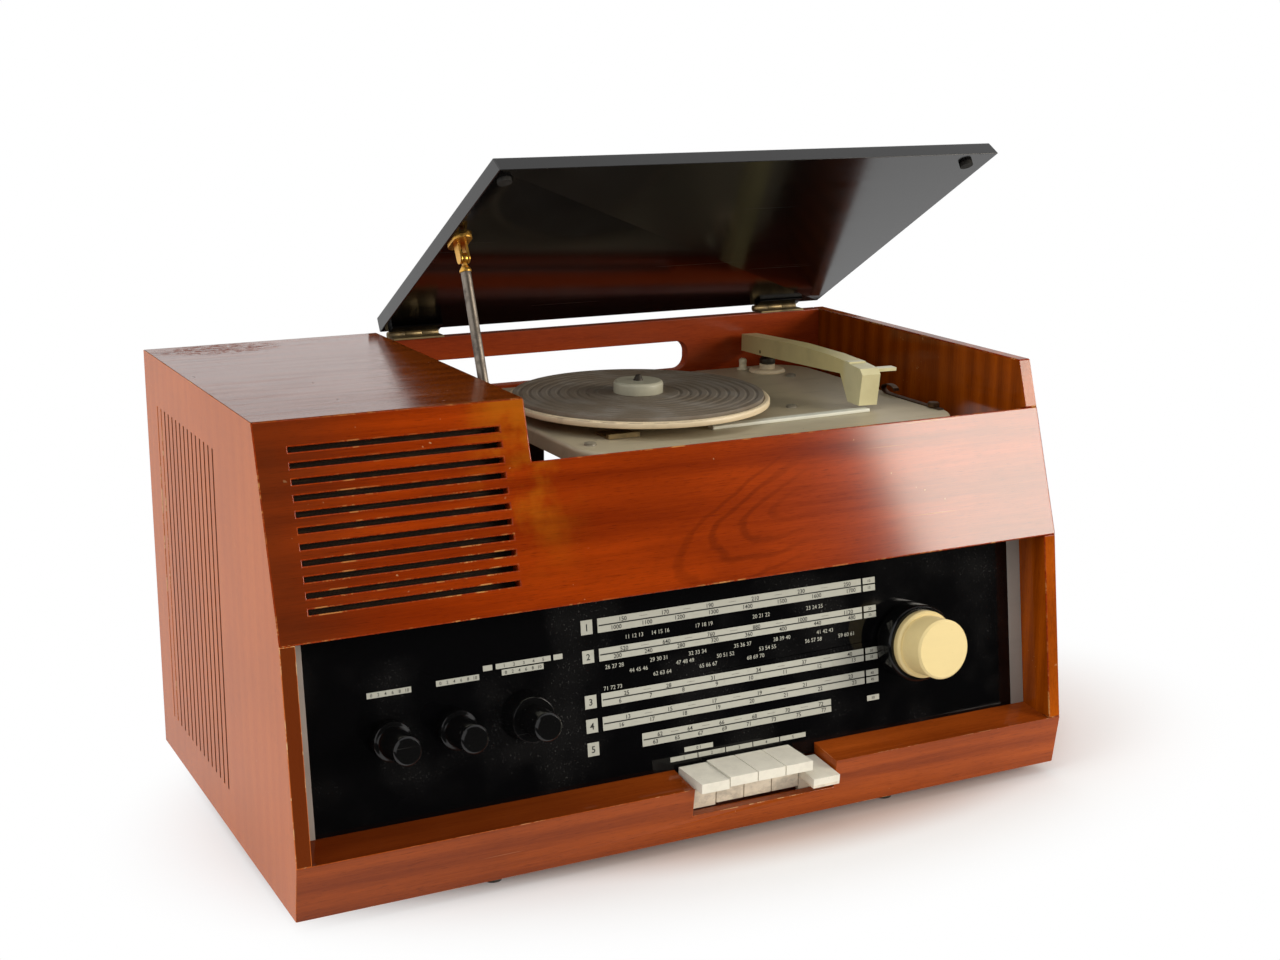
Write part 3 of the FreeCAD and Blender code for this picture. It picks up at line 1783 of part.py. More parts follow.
def make_chassis():
    """Steel pan on the base board with transformers and valves."""
    x = player_x + d.chassis_gap_left
    y = key_pivot_y + d.chassis_gap_front
    length = inner - d.chassis_gap_right - x
    width = back_y - d.chassis_gap_back - y
    top = floor_z + d.chassis_tall
    pan = box("pan_whole", x, y, floor_z, length, width, d.chassis_tall)
    hollow = box(
        "pan_hollow",
        x + d.chassis_sheet,
        y + d.chassis_sheet,
        floor_z - d.overrun,
        length - d.chassis_sheet * 2,
        width - d.chassis_sheet * 2,
        d.chassis_tall - d.chassis_sheet + d.overrun,
    )
    node(cut("pan_cut", pan, hollow), "chassis")
    front = y + d.transformer_behind
    mains_x = x + length - d.transformer_inset - d.mains_wide
    output_x = mains_x - d.transformer_gap - d.output_wide
    cores = [
        box("mains_core", mains_x, front, top, d.mains_wide, d.mains_long, d.mains_tall),
        box("output_core", output_x, front, top, d.output_wide, d.output_long, d.output_tall),
    ]
    node(group("cores", cores), "transformers")
    valves = []
    shoulder = d.valve_tall - d.valve_radius / 2
    for i in range(SIZES["valve_count"]):
        valve = turned(
            f"valve_{i}",
            [
                (0, 0),
                (d.valve_radius, 0),
                (d.valve_radius, shoulder),
                (d.valve_radius / 2, d.valve_tall),
                (0, d.valve_tall + d.valve_tip),
            ],
        )
        valve_x = x + d.valve_inset + d.valve_pitch * i
        valves.append(put(valve, valve_x, y + width - d.valve_back_inset, top))
    node(group("valve_row", valves), "valves")


def make_loudspeaker():
    """Cloth, frame and cone behind the slots of the leaning front."""
    low = d.slot_low - d.cloth_margin
    tall = front_slope - d.slot_low - d.slot_top_gap + d.cloth_margin * 2
    wide = slot_long + d.cloth_margin * 2
    cloth = box("cloth_sheet", 0, 0, 0, wide, d.cloth_thick, tall)
    node(on_front(cloth, x=slot_x - d.cloth_margin, deep=d.board, up=low), "speaker_cloth")
    radius = (front_slope - d.speaker_low - d.speaker_top_gap) / 2
    mouth = radius - d.speaker_rim
    place = {
        "x": slot_x + slot_long / 2,
        "deep": d.board + d.cloth_thick,
        "up": d.speaker_low + radius,
        "facing": IN,
    }
    back = d.speaker_deep + d.magnet_long
    frame = turned(
        "frame_turned",
        [
            (mouth, 0),
            (radius, 0),
            (radius, d.speaker_flange),
            (mouth + d.speaker_sheet, d.speaker_flange),
            (d.speaker_throat + d.speaker_sheet, d.speaker_deep),
            (d.magnet_radius, d.speaker_deep),
            (d.magnet_radius, back),
            (0, back),
            (0, d.speaker_deep),
            (d.speaker_throat, d.speaker_deep),
        ],
    )
    node(on_front(frame, **place), "speaker_frame")
    rim = mouth - d.cone_sheet - d.clearance
    cone = turned(
        "cone_turned",
        [
            (mouth - d.cone_rim, 0),
            (rim, 0),
            (rim, d.cone_sheet),
            (mouth - d.cone_rim, d.cone_sheet),
            (d.cone_throat, d.cone_deep),
            (0, d.cone_deep),
            (0, d.cone_deep - d.cone_sheet),
            (d.cone_throat - d.cone_sheet, d.cone_deep - d.cone_sheet),
        ],
    )
    node(on_front(cone, **place), "speaker_cone")


def write_parts():
    """Checks every piece of the document, then writes one file for each node."""
    doc.recompute()
    faults = [thing.Name for thing in doc.Objects if {"Invalid", "Error"} & set(thing.State)]
    for thing in NODES:
        if thing.Shape.isNull() or not thing.Shape.isValid() or not thing.Shape.Solids:
            faults.append(thing.Label)
    if faults:
        raise RuntimeError("failed pieces: " + ", ".join(faults))
    os.makedirs("parts", exist_ok=True)
    for thing in NODES:
        thing.Shape.exportStep(f"parts/{thing.Label}.step")
        bounds = thing.Shape.BoundBox
        count = len(thing.Shape.Solids)
        print(f"{thing.Label}: {count} solids, {bounds.YMin:.1f} to {bounds.YMax:.1f} in y")


make_cabinet()
make_back()
make_feet()
make_lid()
make_hinges()
make_stay()
make_deck()
make_platter()
make_tone_arm()
make_speed_lever()
make_dial()
make_knobs()
make_pointer_drive()
make_keys()
make_chassis()
make_loudspeaker()
write_parts()
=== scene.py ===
import json
import math
from functools import partial

import bmesh
import bpy
from mathutils import Matrix, Vector


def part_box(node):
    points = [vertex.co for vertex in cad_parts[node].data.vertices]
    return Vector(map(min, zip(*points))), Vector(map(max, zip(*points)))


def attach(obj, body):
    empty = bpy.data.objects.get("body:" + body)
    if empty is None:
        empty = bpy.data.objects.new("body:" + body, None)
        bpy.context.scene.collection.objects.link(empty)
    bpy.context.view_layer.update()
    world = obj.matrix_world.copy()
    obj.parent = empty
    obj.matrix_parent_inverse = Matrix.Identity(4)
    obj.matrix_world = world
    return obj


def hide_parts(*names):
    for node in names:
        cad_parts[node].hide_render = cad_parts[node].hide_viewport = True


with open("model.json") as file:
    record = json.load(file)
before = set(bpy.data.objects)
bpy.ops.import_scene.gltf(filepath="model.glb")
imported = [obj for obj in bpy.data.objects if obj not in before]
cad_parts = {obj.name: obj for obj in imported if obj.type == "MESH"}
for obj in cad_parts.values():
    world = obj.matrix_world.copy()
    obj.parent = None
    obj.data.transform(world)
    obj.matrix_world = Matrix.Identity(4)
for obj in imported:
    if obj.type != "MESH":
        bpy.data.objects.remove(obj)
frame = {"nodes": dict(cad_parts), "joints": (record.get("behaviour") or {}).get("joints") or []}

bl_info = {
    "name": "Radiogram finishes",
    "version": (1, 0, 0),
    "blender": (4, 5, 0),
    "location": "View3D > Sidebar > Radiogram",
    "description": "Veneer, dial print and studio for a table radiogram",
    "category": "Object",
}

NODES = frame["nodes"]
JOINTS = {joint["name"]: joint for joint in frame["joints"]}
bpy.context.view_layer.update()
MM = 0.001
UP, BACK = Vector((0, 0, 1)), Vector((0, 1, 0))
DUST = (0.3, 0.28, 0.25)

# The dial's own directions: into the case, and up along the leaning glass
DIAL_IN = Vector(JOINTS["bass_turn"]["axis"])
DIAL_UP = Vector((0, -DIAL_IN.z, DIAL_IN.y))
DIAL_FACE = Vector(JOINTS["bass_turn"]["pos_m"]).dot(DIAL_IN)
DIAL_FOOT = min(v.co.dot(DIAL_UP) for v in NODES["dial_glass"].data.vertices)
DECK_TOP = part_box("deck_plate")[1].z
ARM_PLACE = JOINTS["arm_swing"]["pos_m"]


def tint(red, green, blue):
    """A paint colour, 0 to 255, on the linear scale that the shaders use."""
    steps = (c / 255 for c in (red, green, blue))
    return tuple(((s + 0.055) / 1.055) ** 2.4 if s > 0.04045 else s / 12.92 for s in steps)


def colour(label, red, green, blue):
    return bpy.props.FloatVectorProperty(
        name=label,
        description="Colour of the " + label.lower(),
        default=tint(red, green, blue),
        subtype="COLOR",
        size=3,
        min=0,
        max=1,
    )


def length(label, description, millimetres):
    return bpy.props.FloatProperty(
        name=label,
        description=description,
        default=millimetres * MM,
        unit="LENGTH",
        subtype="DISTANCE",
        min=0,
        precision=5,
    )


def power(label, description, watts):
    return bpy.props.FloatProperty(
        name=label, description="Power of the " + description, default=watts, min=0, unit="POWER"
    )


class RadiogramCase(bpy.types.PropertyGroup):
    front_light: colour("Front veneer's early wood", 162, 58, 4)
    front_dark: colour("Front veneer's late wood", 94, 22, 0)
    side_light: colour("Left side's early wood", 194, 102, 36)
    side_dark: colour("Left side's late wood", 180, 88, 27)
    top_light: colour("Top veneer's early wood", 126, 58, 12)
    top_dark: colour("Top veneer's late wood", 78, 30, 6)
    lip_light: colour("Lip rail's early wood", 182, 86, 26)
    lip_dark: colour("Lip rail's late wood", 112, 42, 6)
    wall_light: colour("Right side's early wood", 194, 92, 12)
    wall_dark: colour("Right side's late wood", 92, 31, 0)
    inside_light: colour("Inner boards' early wood", 172, 68, 22)
    inside_dark: colour("Inner boards' late wood", 104, 30, 6)
    bare_wood: colour("Bare wood under chipped varnish", 214, 172, 120)
    rubbed_wood: colour("Rubbed wood of the edges", 188, 134, 76)
    hardboard: colour("Hardboard of the back cover", 112, 78, 48)
    edge_round: length("Rounded edge", "Width of the rubbed edge of the boards", 0.9)
    lid_black: colour("Lacquer of the lid", 9, 8, 8)
    rubber: colour("Rubber of feet, buffers and gland", 26, 25, 24)


class RadiogramMetal(bpy.types.PropertyGroup):
    gold: colour("Gold brass of the stay", 240, 184, 84)
    dull_brass: colour("Dull brass of hinges and cover screws", 160, 142, 106)
    rod_grey: colour("Rod of the stay", 158, 148, 136)
    bronze: colour("Bronze of the speed lever", 150, 132, 96)
    plate_grey: colour("Plated steel of chassis and frames", 128, 126, 120)
    dark_steel: colour("Dark steel of spindle and arm post", 92, 86, 78)
    clip_steel: colour("Spring steel of the clip", 96, 74, 56)
    trim_grey: colour("Trim at the ends of the dial", 146, 138, 130)


class RadiogramPlayer(bpy.types.PropertyGroup):
    deck: colour("Deck enamel", 182, 170, 142)
    platter: colour("Platter enamel", 228, 208, 172)
    mat: colour("Mat rubber", 112, 100, 84)
    adaptor: colour("Centre adaptor", 178, 174, 152)
    arm: colour("Arm plastic", 222, 208, 146)
    head: colour("Head plastic", 222, 214, 168)
    cartridge: colour("Cartridge", 214, 208, 186)
    screw: colour("Screw enamel", 134, 126, 108)
    rest_bar: colour("Rest bar", 224, 224, 208)
    peg: colour("Peg behind the arm", 222, 210, 176)
    grime: colour("Dust and dirt in the corners", 92, 82, 68)


class RadiogramDial(bpy.types.PropertyGroup):
    glass: colour("Black behind the dial glass", 6, 6, 7)
    print_pale: colour("Scale bars and pale numbers", 180, 180, 167)
    print_dark: colour("Numbers and lines on the bars", 26, 27, 25)
    knob_black: colour("Tone and volume knobs", 11, 11, 11)
    cap_cream: colour("Cap of the tuning knob", 230, 208, 148)
    key_ivory: colour("Caps of the keys", 233, 228, 212)
    key_plate: colour("Plates below the key caps", 230, 217, 194)
    number_height: length("Number height", "Height of the numbers on the scales", 3)
    print_lift: length("Print lift", "How far the print stands off the glass", 0.05)


class RadiogramStage(bpy.types.PropertyGroup):
    floor: colour("Pale floor", 246, 246, 246)
    # Painted shadow on the floor under the case
    contact: colour("Floor's warm shade under the case", 206, 186, 174)
    lens: bpy.props.FloatProperty(
        name="Lens", description="Focal length of the camera", default=52.905, min=1, unit="CAMERA"
    )
    key_power: power("Overhead light", "large lamp overhead", 24)
    side_power: power("Side light", "lamp at the left", 16)
    fill_power: power("Front light", "lamp at the front", 4)
    box_power: power("Soft box", "soft box that shines in the front", 60)
    sky: bpy.props.FloatProperty(
        name="Surround", description="Brightness of the studio round the object", default=0.54, min=0
    )


SETTINGS = {
    "radiogram_case": RadiogramCase,
    "radiogram_metal": RadiogramMetal,
    "radiogram_player": RadiogramPlayer,
    "radiogram_dial": RadiogramDial,
    "radiogram_stage": RadiogramStage,
}


class Field:
    """A socket whose value changes over the surface, for use in sums."""

    def __init__(self, finish, socket):
        self.finish = finish
        self.socket = socket

    def __add__(self, other):
        return self.finish.maths("ADD", self, other)

    def __radd__(self, other):
        return self.finish.maths("ADD", other, self)

    def __sub__(self, other):
        return self.finish.maths("SUBTRACT", self, other)

    def __rsub__(self, other):
        return self.finish.maths("SUBTRACT", other, self)

    def __mul__(self, other):
        return self.finish.maths("MULTIPLY", self, other)

    def __rmul__(self, other):
        return self.finish.maths("MULTIPLY", other, self)


class Finish:
    """A material in the making, or the surround, with the patterns that the pieces share."""

    sockets = {
        "base": "Base Color",
        "roughness": "Roughness",
        "metallic": "Metallic",
        "normal": "Normal",
        "varnish": "Coat Weight",
        "varnish_roughness": "Coat Roughness",
        "alpha": "Alpha",
        "specular": "Specular IOR Level",
        "sheen": "Sheen Weight",
    }

    def __init__(self, name, surround=None):
        self.material = surround or bpy.data.materials.new(name)
        self.material.use_nodes = True
        self.tree = self.material.node_tree
        self.surface = self.tree.nodes.get("Principled BSDF")
        self.place = self.add("TexCoord", {}, {}, "Object")

    def add(self, kind, settings, inputs, output=0):
        """A node: its settings first, then the values or links of its sockets."""
        node = self.tree.nodes.new("ShaderNode" + kind)
        for name, value in settings.items():
            if name == "stops":
                self.fill_ramp(node.color_ramp.elements, value)
            else:
                setattr(node, name, value)
        for name, value in inputs.items():
            self.feed(node.inputs[name], value)
        return Field(self, node.outputs[output])

    def fill_ramp(self, elements, stops):
        while len(elements) < len(stops):
            elements.new(1)
        for element, (position, shade) in zip(elements, stops):
            element.position = position
            element.color = (*shade, 1)

    def feed(self, socket, value):
        if isinstance(value, Field):
            self.tree.links.new(value.socket, socket)
        elif socket.type == "RGBA":
            socket.default_value = (*value[:3], 1)
        else:
            socket.default_value = value

    def maths(self, operation, first, second):
        return self.add("Math", {"operation": operation}, {0: first, 1: second})

    def mix(self, share, first, second):
        """One colour laid over another."""
        return self.add("Mix", {"data_type": "RGBA"}, {0: share, 6: first, 7: second}, 2)

    def stretched(self, scale, turn=(0, 0, 0), shift=(0, 0, 0)):
        inputs = {"Vector": self.place, "Scale": scale, "Rotation": turn, "Location": shift}
        return self.add("Mapping", {}, inputs)

    def noise(self, scale, detail=2, roughness=0.5, **place):
        """Cloudy pattern from 0 to 1, in patches per metre: one number, or one for each axis."""
        scale = scale if isinstance(scale, tuple) else (scale,) * 3
        vector = self.stretched(scale, **place)
        inputs = {"Vector": vector, "Scale": 1, "Detail": detail, "Roughness": roughness}
        return self.add("TexNoise", {}, inputs)

    def wave(self, kind, direction, inputs):
        """Bands or rings from 0 to 1."""
        settings = {"wave_type": kind, kind.lower() + "_direction": direction}
        return self.add("TexWave", settings, inputs, "Fac")

    def step(self, field, low, high):
        inputs = {"Value": field, "From Min": low, "From Max": high}
        return self.add("MapRange", {"interpolation_type": "SMOOTHSTEP"}, inputs)

    def patches(self, scale, low, high, detail=2, roughness=0.5, **place):
        """The cloudy pattern cut to patches: 0 up to one level of it and 1 from another."""
        return self.step(self.noise(scale, detail, roughness, **place), low, high)

    def ramp(self, field, *stops):
        return self.add("ValToRGB", {"stops": stops}, {"Fac": field})

    def places(self):
        """The place across, along and above the floor, as three plain values."""
        parts = self.add("SeparateXYZ", {}, {"Vector": self.place})
        return [Field(self, socket) for socket in parts.socket.node.outputs]

    def facing(self, axis):
        """How far the surface faces along an axis: 0 is across, 1 along and 2 up."""
        normal = self.add("NewGeometry", {}, {}, "Normal")
        return self.add("SeparateXYZ", {}, {"Vector": normal}, axis)

    def size(self, vector):
        return self.add("VectorMath", {"operation": "LENGTH"}, {0: vector}, "Value")

    def distance(self, centre, scale=(1, 1, 1)):
        """Distance from a point, with each axis scaled."""
        return self.size(self.stretched(scale, shift=tuple(-c * k for c, k in zip(centre, scale))))

    def seen(self):
        """1 for the rays that an eye follows: straight, in gloss or through glass."""
        path = self.add("LightPath", {}, {}).socket.node.outputs
        straight, gloss, glass = (
            Field(self, path[f"Is {kind} Ray"]) for kind in ("Camera", "Glossy", "Transmission")
        )
        return self.maths("MAXIMUM", self.maths("MAXIMUM", straight, gloss), glass)

    def bump(self, height, depth, strength):
        """Relief of the given depth in metres."""
        inputs = {"Height": height, "Distance": depth, "Strength": strength}
        return self.add("Bump", {}, inputs)

    def coat(self, **values):
        """Sets the shader's sockets and hands over the material."""
        for name, value in values.items():
            self.feed(self.surface.inputs[self.sockets[name]], value)
        return self.material


def darker(shade, share):
    return tuple(c * share for c in shade)


def grain(along, lengthways, across):
    """A scale for each axis: one along the grain and another across it."""
    return tuple(lengthways if axis == along else across for axis in "xyz")


def sawn(f, cuts, base, varnish, dark):
    """Paints shade on the wood in saw cuts and leaves it without varnish."""
    cut = cuts(f)
    # Painted shade: the walls of the cuts turn nearly black.
    return f.mix(cut, base, darker(dark, 0.3)), varnish * (1 - cut)


def veneer(name, wood, along, heart, bare, shine=0.95, cuts=None, soiled=None, broad=1.0, open_grain=False):
    """Varnished veneer: growth rings round a heart, fibres, pores, scuffs and scratches."""
    f = Finish(name)
    light, dark = wood
    drawn = grain(along, 0.07, 1)
    centre = tuple(-h * g for h, g in zip(heart, drawn))
    inputs = {"Vector": f.stretched(drawn, shift=centre), "Scale": 17}
    inputs.update({"Distortion": 5, "Detail": 3, "Detail Scale": 1.2})
    rings = f.wave("RINGS", "SPHERICAL", inputs)
    figure = f.noise(grain(along, 5, 38 / broad), 4, 0.55)
    streaks = f.noise(grain(along, 7, 210 / broad), 3, 0.6)
    fibre = f.noise(grain(along, 34, 1300), 2, 0.6)
    pores = f.patches(grain(along, 120, 3000), 0.6, 0.72, 1)
    tone = rings * 0.26 + figure * 0.56 + streaks * 0.46 + fibre * 0.44 - 0.38
    middle = tuple((a + b) / 2 for a, b in zip(light, dark))
    base = f.ramp(tone, (0.05, dark), (0.5, middle), (0.95, light))
    base = f.mix(pores * 0.45, base, darker(dark, 0.45))
    cloud = f.patches((7, 9, 8), 0.46, 0.66, 3)
    base = f.mix(cloud * 0.22, base, darker(dark, 0.7))
    scratch = f.patches((6, 520, 520), 0.74, 0.79, 1, turn=(0.2, 0.5, 0.4))
    nick = f.patches((210, 160, 210), 0.735, 0.775)
    patch = f.patches(13, 0.5, 0.66, shift=(3, 1, 2))
    hurt = (scratch * 0.4 + nick * 0.4) * patch
    base = f.mix(hurt, base, bare)
    roughness = 0.1 + fibre * 0.08 + cloud * 0.06 + hurt * 0.3
    if soiled:
        base, dull = soiled(f, base)
        roughness = roughness + dull
    relief = f.bump(fibre * 0.4 + streaks * 0.5 - pores * 0.6 - hurt * 0.6, 0.00012, 0.3)
    if open_grain:
        return f.coat(base=base, roughness=roughness, normal=relief, specular=shine * 0.5)
    varnish = shine - hurt * 0.6
    if cuts:
        base, varnish = sawn(f, cuts, base, varnish, dark)
    return f.coat(
        base=base,
        roughness=roughness + 0.2,
        normal=relief,
        varnish=varnish,
        varnish_roughness=0.1,
        specular=0,
    )


def rubbed_edge(name, wood, bare, wear=0.6, cuts=None):
    """Board edge where the varnish is worn through in places."""
    f = Finish(name)
    light, dark = wood
    chips = f.patches(90, 0.5, 0.6, 4, 0.7)
    worn = f.patches(16, 0.36, 0.7, 3)
    fibre = f.noise(420)
    base = f.mix(fibre, dark, light)
    base = f.mix(chips * worn * wear, base, bare)
    varnish = 0.6 - chips * 0.5
    if cuts:
        base, varnish = sawn(f, cuts, base, varnish, dark)
    return f.coat(
        base=base,
        roughness=0.36 + chips * 0.25,
        normal=f.bump(fibre - chips, 0.0002, 0.4),
        varnish=varnish,
        varnish_roughness=0.2,
        specular=0,
    )


def board(name, wood, along):
    """Plain board inside the case, thinly stained."""
    f = Finish(name)
    light, dark = wood
    figure = f.noise(grain(along, 6, 60), 4, 0.6)
    fibre = f.noise(grain(along, 144, 1440), 2, 0.6)
    dust = f.step(f.facing(2), 0.4, 0.95) * f.noise(40, 3)
    base = f.ramp(figure * 0.75 + fibre * 0.5 - 0.12, (0.1, dark), (0.9, light))
    base = f.mix(dust * 0.25, base, (0.42, 0.36, 0.3))
    return f.coat(
        base=base,
        roughness=0.42 + fibre * 0.2,
        normal=f.bump(fibre, 0.0002, 0.4),
        varnish=0.7,
        varnish_roughness=0.22,
        specular=0,
    )


def lacquer(name, shade, gloss=0.3):
    """Polished black lacquer with wiping marks and a little dust."""
    f = Finish(name)
    wiped = f.noise((5, 60, 60), 3, turn=(0, 0, 0.5))
    specks = f.patches(900, 0.74, 0.8, 1)
    scratch = f.patches((5, 700, 700), 0.75, 0.8, 1, turn=(0.1, 0.2, 0.9))
    return f.coat(
        base=f.mix(specks * 0.08 + scratch * 0.12, shade, DUST),
        roughness=0.09 + wiped * 0.1 + scratch * 0.2,
        normal=f.bump(f.noise(30), 0.0003, 0.06),
        specular=gloss,
    )


def metal(name, shade, tarnish, roughness, along="x", wear=0.5):
    """Drawn or plated metal with fine lines and tarnish."""
    f = Finish(name)
    drawn = f.noise(grain(along, 20, 1500), 2, 0.6)
    stain = f.patches(90, 0.42, 0.68, 4, 0.6)
    base = f.mix(stain * wear, shade, tarnish)
    base = f.mix(drawn * 0.25, base, darker(shade, 0.55))
    return f.coat(
        base=base,
        metallic=1 - stain * wear * 0.45,
        roughness=roughness + drawn * 0.16 + stain * 0.2 * wear,
        normal=f.bump(drawn - stain * 0.5, 0.00008, 0.5),
    )


def enamel(name, shade, grime, roughness=0.36):
    """Stoved enamel: slight orange peel, dirty streaks and small chips."""
    f = Finish(name)
    peel = f.noise(600)
    cloud = f.noise(24, 4, 0.6)
    streak = f.noise((14, 120, 60), 3, 0.6, turn=(0, 0, 0.6))
    chips = f.patches(260, 0.74, 0.78)
    base = f.mix(f.step(cloud, 0.42, 0.75) * 0.4, shade, darker(shade, 0.72))
    base = f.mix(f.step(streak, 0.55, 0.75) * 0.2, base, grime)
    base = f.mix(chips * 0.75, base, grime)
    return f.coat(
        base=base,
        roughness=roughness + cloud * 0.18 + streak * 0.08,
        normal=f.bump(peel * 0.5 - chips, 0.00006, 0.5),
        varnish=0.12,
        varnish_roughness=0.3,
    )


def rubber(name, shade, dusty=0.3, gloss=0.35):
    """Dull rubber with a fine grain and dust in patches."""
    f = Finish(name)
    dust = f.patches(36, 0.38, 0.72, 4, 0.65)
    swirl = f.noise((220, 220, 60))
    return f.coat(
        base=f.mix(dust * dusty + swirl * 0.1, shade, DUST),
        roughness=0.56 + dust * 0.2,
        normal=f.bump(f.noise(1600), 0.00006, 0.5),
        specular=gloss,
    )


def plastic(name, shade, roughness, grime, dirt=0.3):
    """Moulded plastic with handling marks, faint flow lines and dirt specks."""
    f = Finish(name)
    cloud = f.noise(45, 3, 0.6)
    flow = f.noise((30, 260, 260), turn=(0.3, 0.2, 0.7))
    specks = f.patches(520, 0.72, 0.78)
    base = f.mix(f.step(cloud, 0.42, 0.78) * dirt, shade, darker(shade, 0.74))
    base = f.mix(specks * dirt + flow * 0.06, base, grime)
    return f.coat(
        base=base,
        roughness=roughness + cloud * 0.14 + specks * 0.2,
        normal=f.bump(f.noise(1900, 1) * 0.4 + flow * 0.6, 0.00004, 0.4),
        varnish=0.2,
        varnish_roughness=0.16,
    )


def soften(node, width, segments, edge_slot):
    """Rounds the sharp edges of a solid for the light, without touching its mesh."""
    weld = node.modifiers.new("Join corners", "WELD")
    weld.merge_threshold = 1e-6
    bevel = node.modifiers.new("Broken edge", "BEVEL")
    bevel.width = width
    bevel.segments = segments
    bevel.limit_method = "ANGLE"
    bevel.angle_limit = math.radians(38)
    bevel.use_clamp_overlap = True
    bevel.harden_normals = True
    bevel.material = edge_slot


def dress(names, edge, *materials, segments=2):
    """Gives solids a finish and edges rounded by some millimetres; a second material goes on the edges."""
    for name in names.split():
        node = NODES[name]
        node.data.materials.clear()
        for material in materials:
            node.data.materials.append(material)
        if edge:
            soften(node, edge * MM, segments, len(materials) - 1)


def build(name, shape, *materials):
    """Turns a built shape into an object of the scene."""
    mesh = bpy.data.meshes.new(name)
    shape.to_mesh(mesh)
    shape.free()
    for material in materials:
        mesh.materials.append(material)
    thing = bpy.data.objects.new(name, mesh)
    bpy.context.scene.collection.objects.link(thing)
    return thing


def make_piece(name, shape, slot, *materials, smooth=False):
    """Turns a built shape into a piece that rides on the cabinet."""
    thing = build(name, shape, *materials)
    if smooth:
        thing.data.shade_smooth()
    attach(thing, "cabinet")
    return thing


def skin(shape, rows, closed=True, flip=False):
    """Joins rows of corners into faces; closed rows run round to their start."""
    for low, high in zip(rows, rows[1:]):
        for i in range(len(low) if closed else len(low) - 1):
            after = (i + 1) % len(low)
            if flip:
                shape.faces.new((low[i], high[i], high[after], low[after]))
            else:
                shape.faces.new((low[i], low[after], high[after], high[i]))


def lathe(shape, foot, profile, steps):
    """Adds an upright turned form: profile points are a radius and a height in millimetres."""
    rows = []
    for radius, rise in profile:
        angles = (2 * math.pi * i / steps for i in range(steps))
        spots = (Vector((radius * math.cos(a), radius * math.sin(a), rise)) * MM for a in angles)
        rows.append([shape.verts.new(foot + spot) for spot in spots])
    skin(shape, rows)
    shape.faces.new(rows[-1])
    shape.faces.new(list(reversed(rows[0])))


def strip(shape, middle, wide, path, thick):
    """Adds a bent flat strip: its path is a list of places along and heights."""
    rows = []
    for i, (along, rise) in enumerate(path):
        before, after = path[max(i - 1, 0)], path[min(i + 1, len(path) - 1)]
        way = Vector((after[0] - before[0], after[1] - before[1])).normalized()
        off = Vector((-way.y, way.x)) * thick / 2
        row = []
        for side, half in ((-1, -1), (1, -1), (1, 1), (-1, 1)):
            spot = (middle + side * wide / 2, along + half * off.x, rise + half * off.y)
            row.append(shape.verts.new(spot))
        rows.append(row)
    skin(shape, rows, flip=True)
    shape.faces.new(rows[0])
    shape.faces.new(list(reversed(rows[-1])))


def slotted_head(shape, centre, axis, radius, rise, turn):
    """Adds a domed screw head with a driver slot cut across it."""
    side = axis.to_track_quat("Z", "Y").to_matrix()
    steps, rings = 36, 7
    slot_half, slot_deep = radius * 0.16, rise * 0.55
    rows = []
    for ring in range(rings):
        share = ring / (rings - 1)
        row = []
        for i in range(steps):
            angle = 2 * math.pi * i / steps
            x, y = radius * share * math.cos(angle), radius * share * math.sin(angle)
            z = rise * (1 - share * share)
            if abs(x * math.sin(turn) - y * math.cos(turn)) < slot_half:
                z = max(z - slot_deep, 0)
            row.append(shape.verts.new(centre + side @ Vector((x, y, z))))
        rows.append(row)
    skin(shape, rows, flip=True)
    bmesh.ops.remove_doubles(shape, verts=shape.verts[:], dist=1e-7)


